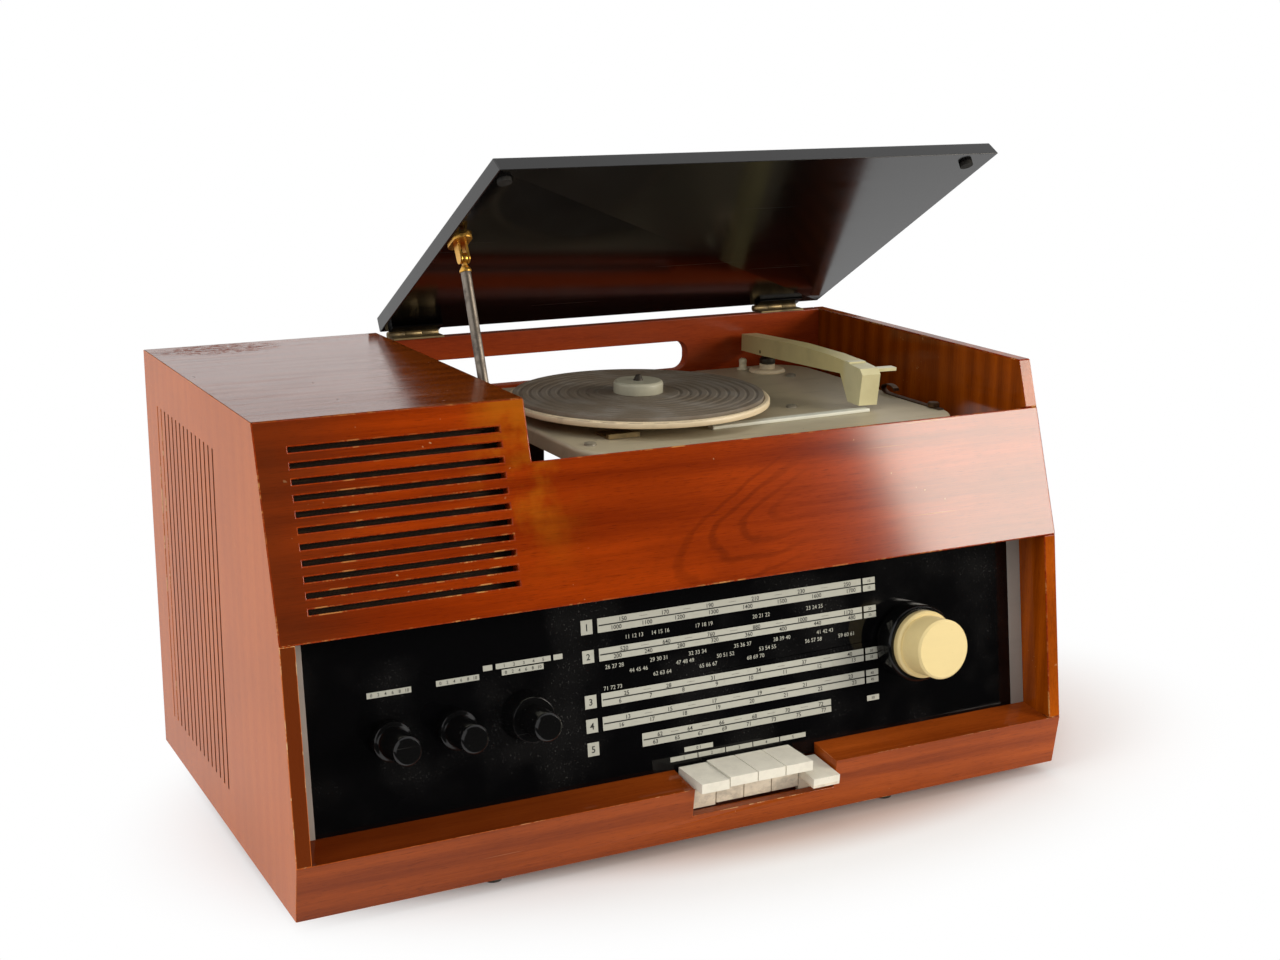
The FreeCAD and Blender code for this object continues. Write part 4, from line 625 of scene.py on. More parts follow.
class RADIOGRAM_OT_veneer_case(bpy.types.Operator):
    """Veneers the case and finishes its boards, back cover and feet"""

    bl_idname = "radiogram.veneer_case"
    bl_label = "Veneer the case"

    # The flame in the front's grain: its heart, its lean and how far it is drawn out
    flame = {"Location": (0.1, -0.15, 0.234), "Rotation": (0, -0.31, 0), "Scale": (3.6, 50, 1)}
    # The rubbed corner of the top: its middle and the scale of its outline
    scuff_spot, scuff_shape = (-0.245, 0.152, 0.315), (0.5, 1, 1)
    # How far in from the side's edges a corner must lie to belong to a vent
    vent_margin = Vector((0, 50, 20)) * MM
    vent_lip = 0.4 * MM
    screw_radius, screw_rise, screw_inset = 4 * MM, 1.6 * MM, 9 * MM

    def execute(self, context):
        case = context.scene.radiogram_case
        edge = case.edge_round / MM
        front, side, top, lip, wall, inside = (
            (getattr(case, name + "_light"), getattr(case, name + "_dark"))
            for name in ("front", "side", "top", "lip", "wall", "inside")
        )
        bare, rubbed = case.bare_wood, case.rubbed_wood
        worn = rubbed_edge("Rubbed edge", front, rubbed, 0.9)
        face = veneer("Front veneer", front, "x", (0.1, -0.1, 0.19), bare, soiled=self.handled_front)
        dress("front_panel", edge, face, worn)
        face = veneer("Wall veneer", wall, "z", (0.3, 0, 0.1), bare, 0.6, broad=10)
        dress("right_side", edge, face, worn)
        lip_shade = self.stained_lip
        face = veneer("Lip veneer", lip, "x", (0, -0.1, -0.1), bare, 0.5, soiled=lip_shade, broad=0.6)
        dress("lip_rail", edge, face, rubbed_edge("Rubbed lip edge", lip, bare, 0.75))
        scuffed = self.scuffed_top
        face = veneer("Top veneer", top, "x", (-0.2, 0.06, 0.3), bare, 1.1, soiled=scuffed, open_grain=True)
        dress("top_panel", edge, face, rubbed_edge("Rubbed top edge", top, rubbed))
        below, through = partial(self.vents, self.vent_lip), partial(self.vents, 0)
        face = veneer("Side veneer", side, "z", (-0.3, 0.02, 0.1), bare, 0.5, below, self.stained_end)
        dress("left_side", edge * 0.5, face, rubbed_edge("Rubbed side edge", side, bare, 1.4, through))
        dress("back_rail base_board deck_rails", edge, board("Stained board", inside, "x"))
        dress("partition", edge, board("Stained upright", inside, "y"))
        dress("back_cover", edge * 0.4, self.hardboard(case.hardboard))
        grey = rubber("Foot rubber", case.rubber)
        dress("feet", edge * 0.6, grey)
        dress("mains_gland", edge * 0.5, grey)
        self.fit_cover_screws(context.scene.radiogram_metal.dull_brass)
        return {"FINISHED"}

    def vents(self, deep, f):
        """1 in the saw cuts through the left side, from a depth below its outer face."""
        low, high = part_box("left_side")
        start, end = low + self.vent_margin, high - self.vent_margin
        spots = [v.co for v in NODES["left_side"].data.vertices]
        spots = [s for s in spots if all(start[i] < s[i] < end[i] for i in (1, 2))]
        places = f.places()
        share = f.maths("GREATER_THAN", places[0], low.x + deep)
        for i in (1, 2):
            share = share * f.maths("GREATER_THAN", places[i], min(s[i] for s in spots) - MM)
            share = share * f.maths("LESS_THAN", places[i], max(s[i] for s in spots) + MM)
        return share

    def stained_end(self, f, base):
        """The front end of the side is stained darker than its face."""
        end = f.step(0 - f.facing(1), 0.5, 0.8)
        return f.mix(end * 0.9, base, tint(82, 29, 8)), end * 0.1

    def stained_lip(self, f, base):
        """Painted shade darkens the lip towards the left, most of all on its ledge."""
        left = 1 - f.step(f.places()[0], -0.3, 0.26)
        ledge = f.step(f.facing(2), 0.4, 0.8)
        # Painted shade: the colour the lip darkens to at the left and on its ledge.
        return f.mix(left * (0.34 + ledge * 0.4), base, tint(62, 18, 4)), left * 0.02

    def handled_front(self, f, base):
        """Painted shade at the left end, yellowed varnish beside the slots and the flame in the grain."""
        low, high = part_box("speaker_cloth")
        across, _, rise = f.places()
        left = 1 - f.step(across, low.x - 0.02, low.x + 0.08)
        cloud = f.noise(24, 4, 0.6)
        # Painted shade: the left end of the front is darkened towards a deep brown.
        base = f.mix(left * (0.35 + cloud * 0.5), base, tint(70, 34, 14))
        yellow = f.step(across, high.x - 0.04, high.x) * (1 - f.step(across, high.x + 0.01, high.x + 0.06))
        yellow = yellow * f.step(rise, high.z - 0.11, high.z - 0.03) * f.step(cloud, 0.4, 0.65)
        base = f.mix(yellow * 0.5, base, tint(168, 100, 14))
        spot = f.add("Mapping", {"vector_type": "TEXTURE"}, {"Vector": f.place, **self.flame})
        inputs = {"Vector": spot, "Scale": 42, "Distortion": 6, "Detail": 3, "Detail Scale": 1.1}
        arcs = f.step(f.wave("RINGS", "SPHERICAL", inputs), 0.6, 1)
        away = f.size(spot)
        near = f.step(away, 0.006, 0.016) * (1 - f.step(away, 0.03, 0.044))
        near = near * (1 - f.step(across, 0.04, 0.11))
        return f.mix(arcs * near * 0.36, base, tint(72, 18, 0)), left * 0.12

    def scuffed_top(self, f, base):
        """Rubbed varnish in the back corner, spots of dirt and dull streaks along the grain."""
        scuff = 1 - f.step(f.distance(self.scuff_spot, self.scuff_shape), 0.012, 0.028)
        scuff = scuff * f.patches((110, 260, 200), 0.46, 0.56, 3, 0.7)
        dirt = f.patches(70, 0.68, 0.76, 3, 0.6)
        streak = f.patches((9, 150, 60), 0.45, 0.7, 3, 0.6)
        base = f.mix(scuff * 0.8, base, tint(104, 48, 30))
        base = f.mix(dirt * 0.7, base, tint(50, 34, 24))
        return base, scuff * 0.5 + dirt * 0.3 + streak * 0.08

    def hardboard(self, shade):
        """Pressed board: short fibres and water marks."""
        f = Finish("Hardboard")
        fibre = f.noise((900, 200, 300), 3, 0.7)
        spots = f.patches(60, 0.4, 0.7, 4, 0.7)
        base = f.mix(fibre, darker(shade, 0.6), shade)
        base = f.mix(spots * 0.35, base, darker(shade, 0.45))
        relief = f.bump(fibre, 0.0003, 0.5)
        return f.coat(base=base, roughness=0.62 + fibre * 0.2, normal=relief, specular=0.3)

    def fit_cover_screws(self, brass):
        """Five screws along the foot of the back cover and two at its top."""
        low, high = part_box("back_cover")
        left, right = low.x + self.screw_inset, high.x - self.screw_inset
        foot, head = low.z + self.screw_inset, high.z - self.screw_inset
        spots = [(left + (right - left) * i / 4, foot, 0.5 * i) for i in range(5)]
        spots += [(x, head, 9 * x) for x in (left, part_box("partition")[0].x)]
        shape = bmesh.new()
        for x, z, turn in spots:
            slotted_head(shape, Vector((x, high.y, z)), BACK, self.screw_radius, self.screw_rise, turn)
        steel = metal("Cover screws", brass, (0.1, 0.06, 0.03), 0.34)
        make_piece("cover_screws", shape, "brass", steel, smooth=True)


class RADIOGRAM_OT_lacquer_lid(bpy.types.Operator):
    """Lacquers the lid and finishes its buffers, hinges and stay"""

    bl_idname = "radiogram.lacquer_lid"
    bl_label = "Lacquer the lid"

    def execute(self, context):
        case = context.scene.radiogram_case
        kit = context.scene.radiogram_metal
        rim = lacquer("Lid edge", tint(24, 23, 23), 0.55)
        dress("lid_panel", 0.8, lacquer("Lid lacquer", case.lid_black), rim)
        dress("lid_buffers", 0.6, rubber("Buffer rubber", case.rubber, 0.05, 0.02))
        brass = metal("Hinge brass", kit.dull_brass, (0.06, 0.045, 0.03), 0.46, "x", 0.8)
        dress("hinge_plates hinge_pins", 0.25, brass)
        dress("lid_hinge_leaves", 0.25, self.painted_leaf(kit.dull_brass, case.lid_black))
        gold = metal("Stay gold", kit.gold, (0.42, 0.22, 0.05), 0.28, "x", 0.45)
        dress("stay_bracket stay_eye", 0.5, gold)
        dress("stay_rod", 0, metal("Rod steel", kit.rod_grey, (0.05, 0.04, 0.035), 0.4, "z", 0.8))
        dress("stay_guide", 0.4, metal("Guide steel", kit.plate_grey, (0.2, 0.16, 0.1), 0.4))
        return {"FINISHED"}

    def painted_leaf(self, brass, black):
        """The lid's leaf was lacquered with the lid, and only its knuckles are bare."""
        f = Finish("Lid leaf")
        painted = f.step(f.distance(JOINTS["lid_hinge"]["pos_m"], (0, 1, 1)), 0.0045, 0.0058)
        drawn = f.noise((20, 900, 900))
        base = f.mix(drawn * 0.5, brass, darker(brass, 0.5))
        return f.coat(
            base=f.mix(painted, base, black),
            metallic=1 - painted,
            roughness=0.48 - painted * 0.34 + drawn * 0.08,
            normal=f.bump(drawn, 0.00006, 0.4),
            specular=0.1,
        )


class RADIOGRAM_OT_dress_player(bpy.types.Operator):
    """Finishes the record player and fits its small parts"""

    bl_idname = "radiogram.dress_player"
    bl_label = "Dress the record player"

    # Two corners of the deck screws that lie closer than this belong to one screw
    screw_apart, head_rise = 12 * MM, 0.8 * MM
    # The peg behind the arm: its place from the arm's pivot, then radii and heights
    peg_place = (-13, 18)
    peg_profile = [(5, 0), (5, 0.8), (3.2, 1.4), (3, 5.4), (3.3, 6), (3.3, 7.6), (2.6, 8.8), (1.2, 9.5)]
    # The clip: its place from the deck's edge and the arm's pivot, its section, its foot and its loop
    clip_place, clip_wide, clip_thick = (-5.5, -125), 5, 0.9
    clip_foot, foot_height = (-68, -40, -14), 0.5
    loop_length, loop_middle, loop_radius = 9, 4.2, 3.7
    bolt_place = -58
    bolt_profile = [(4.6, 1), (4.6, 3.4), (3.8, 4.4), (1, 4.7)]

    def execute(self, context):
        player = context.scene.radiogram_player
        kit = context.scene.radiogram_metal
        grime = player.grime
        dress("deck_plate", 0.8, enamel("Deck enamel", player.deck, grime, 0.34))
        dress("arm_base", 0.5, enamel("Base enamel", player.platter, grime))
        dress("platter", 0.7, enamel("Platter enamel", player.platter, grime, 0.3))
        dress("platter_mat", 0.15, rubber("Mat rubber", player.mat, 0.35))
        dress("centre_adaptor", 0.5, plastic("Adaptor plastic", player.adaptor, 0.38, grime, 0.4))
        dark_steel = metal("Dark steel", kit.dark_steel, (0.03, 0.025, 0.02), 0.44, "z", 0.7)
        dress("arm_post platter_spindle", 0.25, dark_steel)
        screw_paint = enamel("Screw enamel", player.screw, grime)
        dress("deck_screws", 0.25, screw_paint)
        dress("arm_rest_bar", 0.8, enamel("Rest bar", player.rest_bar, grime))
        dress("tonearm", 1.8, self.arm_plastic(player.arm, player.head, grime), segments=4)
        dress("pickup_cartridge", 0.4, plastic("Cartridge", player.cartridge, 0.3, grime))
        dress("speed_lever", 0.4, metal("Lever bronze", kit.bronze, (0.12, 0.09, 0.05), 0.36))
        dress("turntable_motor", 0.8, metal("Motor case", kit.plate_grey, (0.1, 0.08, 0.06), 0.4, "z"))
        self.fit_heads(screw_paint)
        self.fit_peg(enamel("Peg enamel", player.peg, grime))
        self.fit_clip(metal("Clip steel", kit.clip_steel, (0.02, 0.014, 0.01), 0.4, "y", 0.8))
        return {"FINISHED"}

    def arm_plastic(self, arm, head, grime):
        """The arm is greener and duller than the pale head that fingers polish."""
        f = Finish("Arm plastic")
        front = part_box("tonearm")[0].y
        polished = 1 - f.step(f.places()[1], front + 0.026, front + 0.034)
        cloud = f.noise(60, 3, 0.6)
        stain = f.patches(25, 0.45, 0.72, 4, 0.6)
        base = f.mix(polished, arm, head)
        base = f.mix(stain * 0.35, base, darker(arm, 0.62))
        base = f.mix(cloud * 0.12, base, grime)
        return f.coat(
            base=base,
            roughness=0.4 - polished * 0.14 + cloud * 0.12,
            normal=f.bump(f.noise(1500, 1), 0.00004, 0.4),
            varnish=0.2,
            varnish_roughness=0.2,
        )

    def fit_heads(self, painted):
        """A slotted head on each deck screw."""
        screws = []
        for vertex in NODES["deck_screws"].data.vertices:
            near = [s for s in screws if (s[0] - vertex.co).xy.length < self.screw_apart]
            if near:
                near[0].append(vertex.co)
            else:
                screws.append([vertex.co])
        shape = bmesh.new()
        for i, spots in enumerate(screws):
            xs, ys, zs = zip(*spots)
            centre = Vector(((min(xs) + max(xs)) / 2, (min(ys) + max(ys)) / 2, max(zs)))
            slotted_head(shape, centre, UP, (max(xs) - min(xs)) * 0.47, self.head_rise, 0.7 * i)
        make_piece("deck_screw_heads", shape, "deck_enamel", painted, smooth=True)

    def fit_peg(self, cream):
        shape = bmesh.new()
        across, along = self.peg_place
        foot = Vector((ARM_PLACE[0] + across * MM, ARM_PLACE[1] + along * MM, DECK_TOP))
        lathe(shape, foot, self.peg_profile, 40)
        make_piece("arm_peg", shape, "arm_plastic", cream, smooth=True)

    def fit_clip(self, steel):
        """The dark spring clip at the right edge of the deck, with a loop behind and a bolt in front."""
        across, along = self.clip_place
        x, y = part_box("deck_plate")[1].x + across * MM, ARM_PLACE[1] + along * MM
        path = [(place, self.foot_height) for place in self.clip_foot]
        for i in range(11):
            angle = math.pi * (0.15 * i - 0.5)
            rise = self.loop_middle + self.loop_radius * math.sin(angle)
            path.append((self.loop_length * math.cos(angle), rise))
        path = [(y + place * MM, DECK_TOP + rise * MM) for place, rise in path]
        shape = bmesh.new()
        strip(shape, x, self.clip_wide * MM, path, self.clip_thick * MM)
        lathe(shape, Vector((x, y + self.bolt_place * MM, DECK_TOP)), self.bolt_profile, 24)
        make_piece("deck_clip", shape, "rod_steel", steel)


def dial_spot(x, up, lift):
    """A point on the dial in metres: x to the right, up along the glass, lift out of it."""
    return Vector((x, 0, 0)) + DIAL_UP * (DIAL_FOOT + up) + DIAL_IN * (DIAL_FACE - lift)


class DialPrint:
    """Collects the bars, lines and numbers of the dial in millimetres."""

    # Size of the letters for a number one high, and how much bolder the dark ones are
    letter_size, bolder = 1.38, 0.018

    def __init__(self, lift):
        self.shape = bmesh.new()
        self.lift = lift

    def bar(self, left, right, low, high, dark=False, layer=1):
        corners = [(left, low), (right, low), (right, high), (left, high)]
        spots = [dial_spot(x * MM, up * MM, self.lift * layer) for x, up in corners]
        face = self.shape.faces.new([self.shape.verts.new(spot) for spot in spots])
        face.material_index = int(dark)

    def write(self, number, x, up, tall, dark=True):
        """Plain numbers in Blender's own letters, centred on a point."""
        curve = bpy.data.curves.new("number", "FONT")
        curve.body = str(number)
        curve.size = tall * self.letter_size
        curve.offset = tall * self.bolder if dark else 0
        curve.align_x = "CENTER"
        curve.resolution_u = 3
        holder = bpy.data.objects.new("number", curve)
        mesh = bpy.data.meshes.new_from_object(holder)
        spots = []
        for vertex in mesh.vertices:
            place = dial_spot((x + vertex.co.x) * MM, (up - tall / 2 + vertex.co.y) * MM, self.lift * 2)
            spots.append(self.shape.verts.new(place))
        for polygon in mesh.polygons:
            face = self.shape.faces.new([spots[i] for i in polygon.vertices])
            face.material_index = int(dark)
        bpy.data.objects.remove(holder)
        bpy.data.curves.remove(curve)
        bpy.data.meshes.remove(mesh)


class RADIOGRAM_OT_print_dial(bpy.types.Operator):
    """Blackens the dial glass and prints its scales and plain numbers"""

    bl_idname = "radiogram.print_dial"
    bl_label = "Print the dial"

    # Each scale: left, right, low, high in millimetres, then the first number and step of its two lines
    scales = [
        (-69, 142, 110.6, 120.5, (150, 20), (1000, 100)),
        (-69, 142, 91, 99.8, (520, 120), (200, 40)),
        (-69, 142, 59.8, 69, (25, 3), (6, 1)),
        (-69, 142, 43, 52.6, (13, 2), (16, 1)),
        (-40, 112.6, 27, 36.4, (62, 2), (63, 2)),
    ]
    # The tags left and right of the scales, the split of the right ones and half the height of the last
    left_tag, right_tag, split_half, last_half = (-81.4, -72.8), (143.6, 154), 0.5, 2
    # The line along the middle of a bar: where it starts and half its width
    line_start, line_half = 0.8, 0.45
    # Half the width and the height of a tick, then half the length and half the width of a dash
    tick_half, tick_rise, dash_half, dash_thin = 0.12, 0.7, 3, 0.1
    # Rows of pale numbers below the long scales: height and places
    number_rows = [
        (105.2, (-42, -22, 12, 58, 102)),
        (86.6, (-58, -24, 6, 42, 74, 110)),
        (81.6, (-40, -4, 28, 62, 100, 128)),
        (76.6, (-22, 14, 52)),
        (72, (-60,)),
    ]
    pale_tall, label_tall, tag_tall = 2.9, 2.2, 2
    # The bars over the knobs: left, right and middle height
    knob_bars = [(-233, -203, 93), (-186, -156, 93.8), (-140, -110, 94.2)]
    knob_bar_half = 1.9
    # The bar over the volume knob, with a tag at each end
    volume_bar, volume_low, volume_high = (-144, -104.5), 97, 100.6
    volume_tags, volume_tag_wide = (-153, -102.5), 6.6
    # The bars over the keys, and the single one above them
    key_bars, key_low, key_high, key_gap = (-19.7, 90.6), 12.4, 15.8, 0.4
    upper_bar, upper_low, upper_high = (-8, 14.6), 17.8, 21.2

    def execute(self, context):
        dial = context.scene.radiogram_dial
        dress("dial_glass", 0.4, self.black_glass(dial.glass))
        trim = enamel("Trim", context.scene.radiogram_metal.trim_grey, (0.2, 0.18, 0.16), 0.4)
        dress("dial_trims", 0.5, trim)
        ink = DialPrint(dial.print_lift)
        for number, scale in enumerate(self.scales, start=1):
            self.print_scale(ink, number, dial.number_height / MM, *scale)
        self.print_rows(ink)
        self.print_labels(ink)
        pale = self.printed("Pale print", dial.print_pale)
        dark = self.printed("Dark print", dial.print_dark)
        make_piece("dial_print", ink.shape, "dial_glass", pale, dark)
        return {"FINISHED"}

    def black_glass(self, shade):
        """Glass blackened behind, with smears and a film of dust."""
        f = Finish("Black glass")
        smear = f.noise((28, 28, 46), 4, 0.65)
        film = f.patches(15, 0.45, 0.7, 3)
        dust = f.patches(700, 0.62, 0.75, 2, 0.6) * film
        return f.coat(
            base=f.mix(dust * 0.09 + film * 0.012, shade, (0.5, 0.48, 0.45)),
            roughness=0.05 + f.step(smear, 0.4, 0.8) * 0.12 + dust * 0.2,
            normal=f.bump(smear, 0.00012, 0.05),
            specular=0.3,
        )

    def printed(self, name, shade):
        """Thin paint, worn in places."""
        f = Finish(name)
        thin = f.noise(700)
        worn = f.patches(130, 0.62, 0.76, 3, 0.6)
        base = f.mix(thin * 0.16 + worn * 0.3, shade, darker(shade, 0.6))
        return f.coat(base=base, roughness=0.42 + thin * 0.15, normal=f.bump(thin, 0.00002, 0.4))

    def print_scale(self, ink, number, tall, left, right, low, high, upper, lower):
        """A pale bar with a line of numbers above its middle and another below."""
        middle, half = (low + high) / 2, (high - low) / 2
        ink.bar(left, right, low, high)
        band = (middle - self.line_half, middle + self.line_half)
        ink.bar(left + self.line_start, right, *band, True, 2)
        for side, count, (start, step) in ((1, 6, upper), (-1, 8, lower)):
            line = middle + side * half / 2
            places = [left + (right - left) * ((i + 0.7) / count) ** 1.12 for i in range(count)]
            for i, x in enumerate(places):
                ink.write(start + step * i, x, line, tall)
                ends = sorted((middle, middle + side * self.tick_rise))
                ink.bar(x - self.tick_half, x + self.tick_half, *ends, True, 2)
            for i in range(count - 1):
                x = left + (right - left) * ((i + 1.2) / count) ** 1.12
                ends = (x - self.dash_half, x + self.dash_half)
                ink.bar(*ends, line - self.dash_thin, line + self.dash_thin, side > 0, 2 if side > 0 else 1)
        ink.bar(*self.left_tag, low, high)
        ink.write(number, sum(self.left_tag) / 2, middle, half)
        tag_middle = sum(self.right_tag) / 2
        if number < len(self.scales):
            ink.bar(*self.right_tag, middle + self.split_half, high)
            ink.bar(*self.right_tag, low, middle - self.split_half)
            ink.write(number * 10, tag_middle, middle + half / 2, self.tag_tall)
            ink.write(number * 10 + 5, tag_middle, middle - half / 2, self.tag_tall)
        else:
            ink.bar(*self.right_tag, middle - self.last_half, middle + self.last_half)
            ink.write(number * 10, tag_middle, middle, self.tag_tall)

    def print_rows(self, ink):
        """Rows of plain numbers below the two long scales."""
        first = 11
        for up, places in self.number_rows:
            for x in places:
                ink.write(f"{first} {first + 1} {first + 2}", x, up, self.pale_tall, False)
                first += 3

    def print_labels(self, ink):
        """Bars over the knobs and the keys, each with its own small scale of numbers."""
        tall = self.label_tall
        for left, right, middle in self.knob_bars:
            ink.bar(left, right, middle - self.knob_bar_half, middle + self.knob_bar_half)
            for i in range(6):
                ink.write(2 * i, left + 3 + (right - left - 6) * i / 5, middle, tall)
        ink.bar(*self.volume_bar, self.volume_low, self.volume_high)
        for i in range(5):
            ink.write(i + 1, self.volume_bar[0] + 6 + 7 * i, (self.volume_low + self.volume_high) / 2, tall)
        for left in self.volume_tags:
            ink.bar(left, left + self.volume_tag_wide, self.volume_low, self.volume_high)
        first, last = self.key_bars
        wide = (last - first) / 5
        for i in range(5):
            left, right = first + wide * i + self.key_gap, first + wide * (i + 1) - self.key_gap
            ink.bar(left, right, self.key_low, self.key_high)
            ink.write(i + 1, first + wide * (i + 0.5), (self.key_low + self.key_high) / 2, tall)
        ink.bar(*self.upper_bar, self.upper_low, self.upper_high)
        ink.write("0 1", sum(self.upper_bar) / 2, (self.upper_low + self.upper_high) / 2, tall)


class RADIOGRAM_OT_finish_knobs(bpy.types.Operator):
    """Finishes the knobs and the keys"""

    bl_idname = "radiogram.finish_knobs"
    bl_label = "Finish the knobs and keys"

    # How far the foot of a key's cap lies below its top, from where it darkens to where it is pale
    cap_foot, cap_start = 8.6 * MM, 7.4 * MM

    def execute(self, context):
        dial = context.scene.radiogram_dial
        grime = context.scene.radiogram_player.grime
        black = lacquer("Knob black", dial.knob_black, 0.4)
        dress("bass_knob treble_knob aerial_ring volume_knob tuning_skirt", 0.5, black)
        cream = plastic("Cap cream", dial.cap_cream, 0.3, grime, 0.14)
        dress("tuning_cap", 0.6, cream, segments=3)
        for i in range(1, 6):
            key = f"key_{i}"
            dress(key, 0.3, self.key_plastic(key, dial.key_ivory, dial.key_plate, grime))
        return {"FINISHED"}

    def key_plastic(self, key, ivory, plate, grime):
        """Ivory caps over grubby plates; the line between them is the underside of the caps."""
        f = Finish("Plastic of " + key)
        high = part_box(key)[1].z
        below = 1 - f.step(f.places()[2], high - self.cap_foot, high - self.cap_start)
        stain = f.patches((90, 90, 130), 0.4, 0.7, 4, 0.65)
        cloud = f.noise(50, 3)
        specks = f.patches(650, 0.71, 0.76)
        base = f.mix(below, ivory, plate)
        base = f.mix(stain * (0.1 + below * 0.3), base, grime)
        base = f.mix(specks * 0.4, base, grime)
        base = f.mix(cloud * 0.12, base, darker(ivory, 0.7))
        return f.coat(
            base=base,
            roughness=0.26 + cloud * 0.12 + below * 0.15,
            normal=f.bump(cloud - specks * 0.4, 0.00008, 0.3),
            varnish=0.2,
            varnish_roughness=0.15,
        )


class RADIOGRAM_OT_finish_inside(bpy.types.Operator):
    """Finishes what stands inside the case"""

    bl_idname = "radiogram.finish_inside"
    bl_label = "Finish the inside"

    def execute(self, context):
        plate_grey = context.scene.radiogram_metal.plate_grey
        plate = metal("Plated steel", plate_grey, (0.24, 0.2, 0.13), 0.4)
        dress("chassis dial_plate key_frame potentiometers speaker_frame", 0.4, plate)
        vanes = metal("Vane aluminium", tint(196, 196, 194), (0.3, 0.28, 0.25), 0.3)
        dress("gang_capacitor", 0.4, vanes)
        dress("transformers", 0.6, self.laminations())
        dress("valves", 0, self.valve_glass())
        drum = plastic("Drum plastic", tint(96, 70, 46), 0.42, (0.1, 0.08, 0.06))
        dress("tuning_drum", 0.3, drum)
        dress("dial_cord", 0, self.woven("Drive cord", tint(168, 152, 120), 2400))
        dress("dial_pointer", 0.15, enamel("Pointer red", tint(196, 52, 34), (0.2, 0.1, 0.08)))
        dress("speaker_cone", 0, self.woven("Cone paper", tint(46, 43, 40), 420))
        return {"FINISHED"}

    def laminations(self):
        """Stacked iron sheets, rusted in places."""
        f = Finish("Laminations")
        inputs = {"Vector": f.stretched((1, 0, 0)), "Scale": 260, "Distortion": 0.4}
        sheets = f.wave("BANDS", "X", inputs)
        rust = f.patches(120, 0.5, 0.68, 4, 0.7)
        base = f.mix(sheets, tint(40, 38, 36), tint(84, 80, 76))
        return f.coat(
            base=f.mix(rust * 0.6, base, tint(104, 58, 30)),
            metallic=0.7 - rust * 0.6,
            roughness=0.46 + rust * 0.3,
            normal=f.bump(sheets, 0.0002, 0.5),
        )

    def valve_glass(self):
        """Clear bulbs, silvered at the top by the getter and dark at the base."""
        f = Finish("Valve glass")
        rise = f.places()[2]
        low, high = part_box("valves")
        silver = f.step(rise, high.z - 0.02, high.z - 0.013)
        base_dark = 1 - f.step(rise, low.z + 0.006, low.z + 0.008)
        smear = f.noise(80, 3)
        base = f.mix(silver, (0.7, 0.72, 0.7), (0.5, 0.5, 0.5))
        return f.coat(
            base=f.mix(base_dark, base, (0.02, 0.018, 0.016)),
            metallic=silver * 0.9,
            roughness=0.06 + smear * 0.12 + base_dark * 0.4,
            alpha=0.42 + silver * 0.56 + base_dark * 0.58,
        )

    def woven(self, name, shade, threads):
        """Fuzzy cord or paper; the threads are counted per metre."""
        f = Finish(name)
        fuzz = f.noise(threads, 3, 0.7)
        patch = f.noise(60, 3)
        base = f.mix(fuzz * 0.6, shade, darker(shade, 0.4))
        base = f.mix(patch * 0.2, base, darker(shade, 1.6))
        return f.coat(base=base, roughness=0.8 + fuzz * 0.15, normal=f.bump(fuzz, 0.0003, 0.6), specular=0.2)


class RADIOGRAM_OT_stretch_cloth(bpy.types.Operator):
    """Stretches the loudspeaker cloth behind the slots"""

    bl_idname = "radiogram.stretch_cloth"
    bl_label = "Stretch the loudspeaker cloth"

    columns, rows = 74, 56
    # How far the cloth sinks in its middle, and how far its threads ripple
    sink, ripple = 0.24 * MM, 0.06 * MM

    def execute(self, context):
        node = NODES["speaker_cloth"]
        out = max(node.data.polygons, key=lambda polygon: polygon.area).normal
        out = Vector((0, -abs(out.y), abs(out.z)))
        rise = Vector((0, out.z, -out.y))
        spots = [vertex.co for vertex in node.data.vertices]
        left, right = min(s.x for s in spots), max(s.x for s in spots)
        low, high = min(s.dot(rise) for s in spots), max(s.dot(rise) for s in spots)
        deep = sum(s.dot(out) for s in spots) / len(spots)
        shape = bmesh.new()
        grid = []
        for j in range(self.rows + 1):
            line = []
            for i in range(self.columns + 1):
                across = Vector((left + (right - left) * i / self.columns, 0, 0))
                up = rise * (low + (high - low) * j / self.rows)
                loose = math.sin(math.pi * i / self.columns) * math.sin(math.pi * j / self.rows)
                wavy = math.sin(i * 0.9 + 0.6 * math.sin(j * 0.5))
                back = (self.sink + self.ripple * wavy) * loose
                line.append(shape.verts.new(across + up + out * (deep - back)))
            grid.append(line)
        skin(shape, grid, closed=False)
        cloth = make_piece("grille_cloth", shape, "cloth", self.weave(), smooth=True)
        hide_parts("speaker_cloth")
        return {"FINISHED"}

    def weave(self):
        """Coarse brown threads, over and under."""
        f = Finish("Grille cloth")
        across, upward = (
            f.wave("BANDS", axis, {"Vector": f.place, "Scale": threads, "Distortion": 0.8, "Detail": 2})
            for axis, threads in (("X", 380), ("Z", 330))
        )
        slub = f.patches((50, 900, 900), 0.55, 0.7)
        base = f.mix(across * upward, tint(26, 16, 8), tint(70, 48, 26))
        return f.coat(
            base=f.mix(slub * 0.4, base, tint(92, 68, 36)),
            roughness=0.82 + upward * 0.1,
            normal=f.bump(across + upward, 0.0003, 0.7),
            specular=0.2,
            sheen=0.2,
        )


